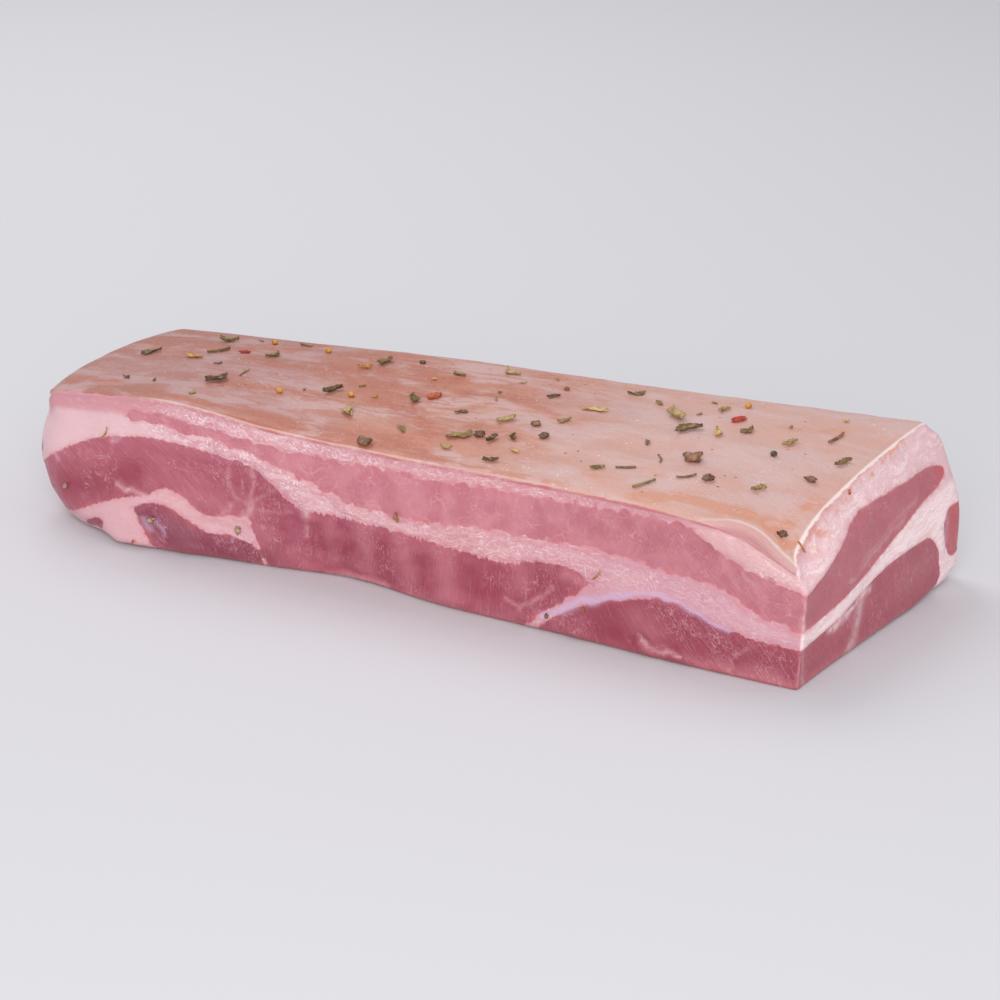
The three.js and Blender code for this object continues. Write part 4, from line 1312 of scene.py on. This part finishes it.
def stalk_form(length, width, draw):
    """A thin, slightly bent bit of stem of uneven thickness, with broken ends."""
    rings, sides = STALK_GRID
    bend = lerp(-0.16, 0.16, next(draw)) * length
    seed = 100 * next(draw)
    points = []
    for ring in range(rings):
        u = 2 * ring / (rings - 1) - 1
        radius = width / 2 * (0.75 + 0.35 * noise.noise(Vector((u * 3, seed, 0))))
        for side in range(sides):
            angle = 2 * math.pi * side / sides
            points.append((
                u * length / 2,
                bend * (1 - u * u) + radius * math.cos(angle),
                width * 0.45 + 0.25 * u * u * abs(bend) + radius * math.sin(angle),
            ))
    return points, tube_faces(rings, sides)


def tube_faces(rings, sides):
    """Faces of a closed tube: the quads between its rings, and its two ends."""
    faces = []
    for ring in range(rings - 1):
        for side in range(sides):
            a, b = ring * sides + side, ring * sides + (side + 1) % sides
            faces.append((a, a + sides, b + sides, b))
    faces.append(tuple(range(sides)))
    faces.append(tuple((rings - 1) * sides + side for side in reversed(range(sides))))
    return faces


def lump_form(length, width, height, rough, draw):
    """A rounded or broken lump: a ball pushed about by noise."""
    rings, sides = LUMP_GRID
    seed = Vector((100 * next(draw), 0, 0))
    points = []
    for ring in range(rings):
        polar = math.pi * (ring + 0.5) / rings
        out = math.sin(polar)
        for side in range(sides):
            angle = 2 * math.pi * side / sides
            way = Vector((math.cos(polar), out * math.cos(angle), out * math.sin(angle)))
            size = 1 + rough * noise.noise(way * 2.1 + seed)
            points.append((way.x * length / 2 * size, way.y * width / 2 * size,
                           height * 0.42 + way.z * height / 2 * size))
    return points, tube_faces(rings, sides)


def herb_form(kind, length, draw):
    """The points and faces of one herb, which lies along its own first axis."""
    width_share, least = HERB_FORMS[kind]
    width = max(least, length * width_share)
    if kind == "stalk":
        return stalk_form(length, width, draw)
    if kind in LUMPS:
        height_share, rough = LUMPS[kind]
        height = max(least * 0.6, length * height_share)
        return lump_form(length, width, height, rough, draw)
    return leaf_form(length, width, draw)


def make_herbs(belly):
    """One piece for each kind of herb, each herb with a colour of its own."""
    herbs = PLACED_HERBS + strewn_herbs(random_stream(SMALL_HERBS["seed"]))
    draw = random_stream(SMALL_HERBS["seed"] + 1)
    batches = {kind: ([], [], []) for kind in HERB_FORMS}
    places = [(kind, "rind", *place) for kind, *place in herbs]
    for kind, side, first, second, length, heading in places + SIDE_HERBS:
        points, faces, colours = batches[kind]
        frame_here = herb_frame(belly, side, first, second, heading)
        form_points, form_faces = herb_form(kind, length, draw)
        base = len(points)
        points += [frame_here @ (Vector(p) * METRES) for p in form_points]
        faces += [tuple(base + i for i in face) for face in form_faces]
        choices = (HERB_COLOURS if side == "rind" else SIDE_COLOURS)[kind]
        choice = choices[int(next(draw) * len(choices))]
        colours += herb_tints(choice, form_points, 100 * next(draw))
    for kind, (points, faces, colours) in batches.items():
        herb_piece(kind, points, faces, colours)


def herb_tints(colour, points, seed):
    """A herb's colour at every point, drier and paler in places and darker in others."""
    tints = []
    for point in points:
        tone = noise.noise(Vector(point) * 0.9 + Vector((seed, 0, 0)))
        pale, dark = max(tone, 0) * 0.8, max(-tone, 0) * 0.8
        mixed = [lerp(lerp(part, dry, pale), part * 0.4, dark) for part, dry in zip(colour, DRY_COLOUR)]
        tints.append(srgb(*mixed))
    return tints


def herb_piece(kind, points, faces, colours):
    name = "herb_" + kind
    mesh = mesh_of(name, [tuple(p) for p in points], faces)
    attribute = mesh.color_attributes.new("tint", "FLOAT_COLOR", "POINT")
    attribute.data.foreach_set("color", np.array(colours, np.float32).ravel())
    mesh.materials.append(herb_material(kind))
    piece = added(name, mesh)
    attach(piece, "root")


def herb_material(kind):
    n = Nodes("dried_" + kind)
    tint = n.attribute("tint", "Color")
    mottle = n.step(n.noise(1.6, 3), 0.35, 0.65, 0, 0.55)
    darker = n.mix(1.0, tint, (0.62, 0.54, 0.44, 1), "MULTIPLY")
    n.feed(n.shader, {
        "Base Color": n.mix(mottle, tint, darker),
        "Roughness": n.step(n.noise(2.2, 2), 0.3, 0.7, 0.45, 0.75),
        "Normal": n.bump(n.noise(3.5, 3), 0.25, 0.6),
    })
    return n.material


# ---------------------------------------------------- stage and camera

VIEW_TURN = 27.71  # degrees round from the near side
VIEW_RISE = 23  # degrees above the table
VIEW_DISTANCE = 840
VIEW_TARGET = np.array([9.3, 0, 17.6])
FRAME_PIXELS = 1000
FOCAL_PIXELS = 2454
SENSOR = 36
# Round area lights: place and size in metres, and power in watts.
LIGHTS = {
    "window": {"place": (-0.7, 0.5, 1.1), "size": 0.9, "power": 6},
    "fill": {"place": (0.6, -1.2, 0.75), "size": 1, "power": 14.5},
}
SKY_COLOUR = (0.95, 0.97, 1, 1)
SKY_STRENGTH = 0.58
FLOOR_REACH = 4  # metres from its middle to its edges
FLOOR_SHADE = (214, 212, 216)


def make_camera():
    turn, rise = math.radians(VIEW_TURN), math.radians(VIEW_RISE)
    level = math.cos(rise)
    back = np.array([math.sin(turn) * level, -math.cos(turn) * level, math.sin(rise)])
    data = bpy.data.cameras.new("camera")
    data.sensor_width = SENSOR
    data.lens = FOCAL_PIXELS / FRAME_PIXELS * SENSOR
    data.clip_start = 0.01
    camera = added("camera", data)
    camera.location = in_frame(VIEW_TARGET + back * VIEW_DISTANCE)
    camera.rotation_euler = Vector(-back).to_track_quat("-Z", "Y").to_euler()
    bpy.context.scene.camera = camera


def make_floor():
    corners = [(x * FLOOR_REACH, y * FLOOR_REACH, 0) for x, y in ((-1, -1), (1, -1), (1, 1), (-1, 1))]
    mesh = mesh_of("floor", corners, [(0, 1, 2, 3)])
    n = Nodes("floor")
    n.feed(n.shader, {"Base Color": srgb(*FLOOR_SHADE), "Roughness": 0.8})
    mesh.materials.append(n.material)
    floor = added("floor", mesh)


def make_lights():
    for name, light in LIGHTS.items():
        data = bpy.data.lights.new(name, "AREA")
        data.shape = "DISK"
        data.size = light["size"]
        data.energy = light["power"]
        lamp = added(name, data)
        lamp.location = light["place"]
        lamp.rotation_euler = (-Vector(light["place"])).to_track_quat("-Z", "Y").to_euler()
    world = bpy.data.worlds.new("studio")
    world.use_nodes = True
    background = world.node_tree.nodes["Background"]
    background.inputs["Color"].default_value = SKY_COLOUR
    background.inputs["Strength"].default_value = SKY_STRENGTH
    bpy.context.scene.world = world
    bpy.context.scene.view_settings.view_transform = "Standard"


# ----------------------------------------------------------- the scene

make_camera()
make_floor()
make_lights()
belly = make_belly()
make_herbs(belly)
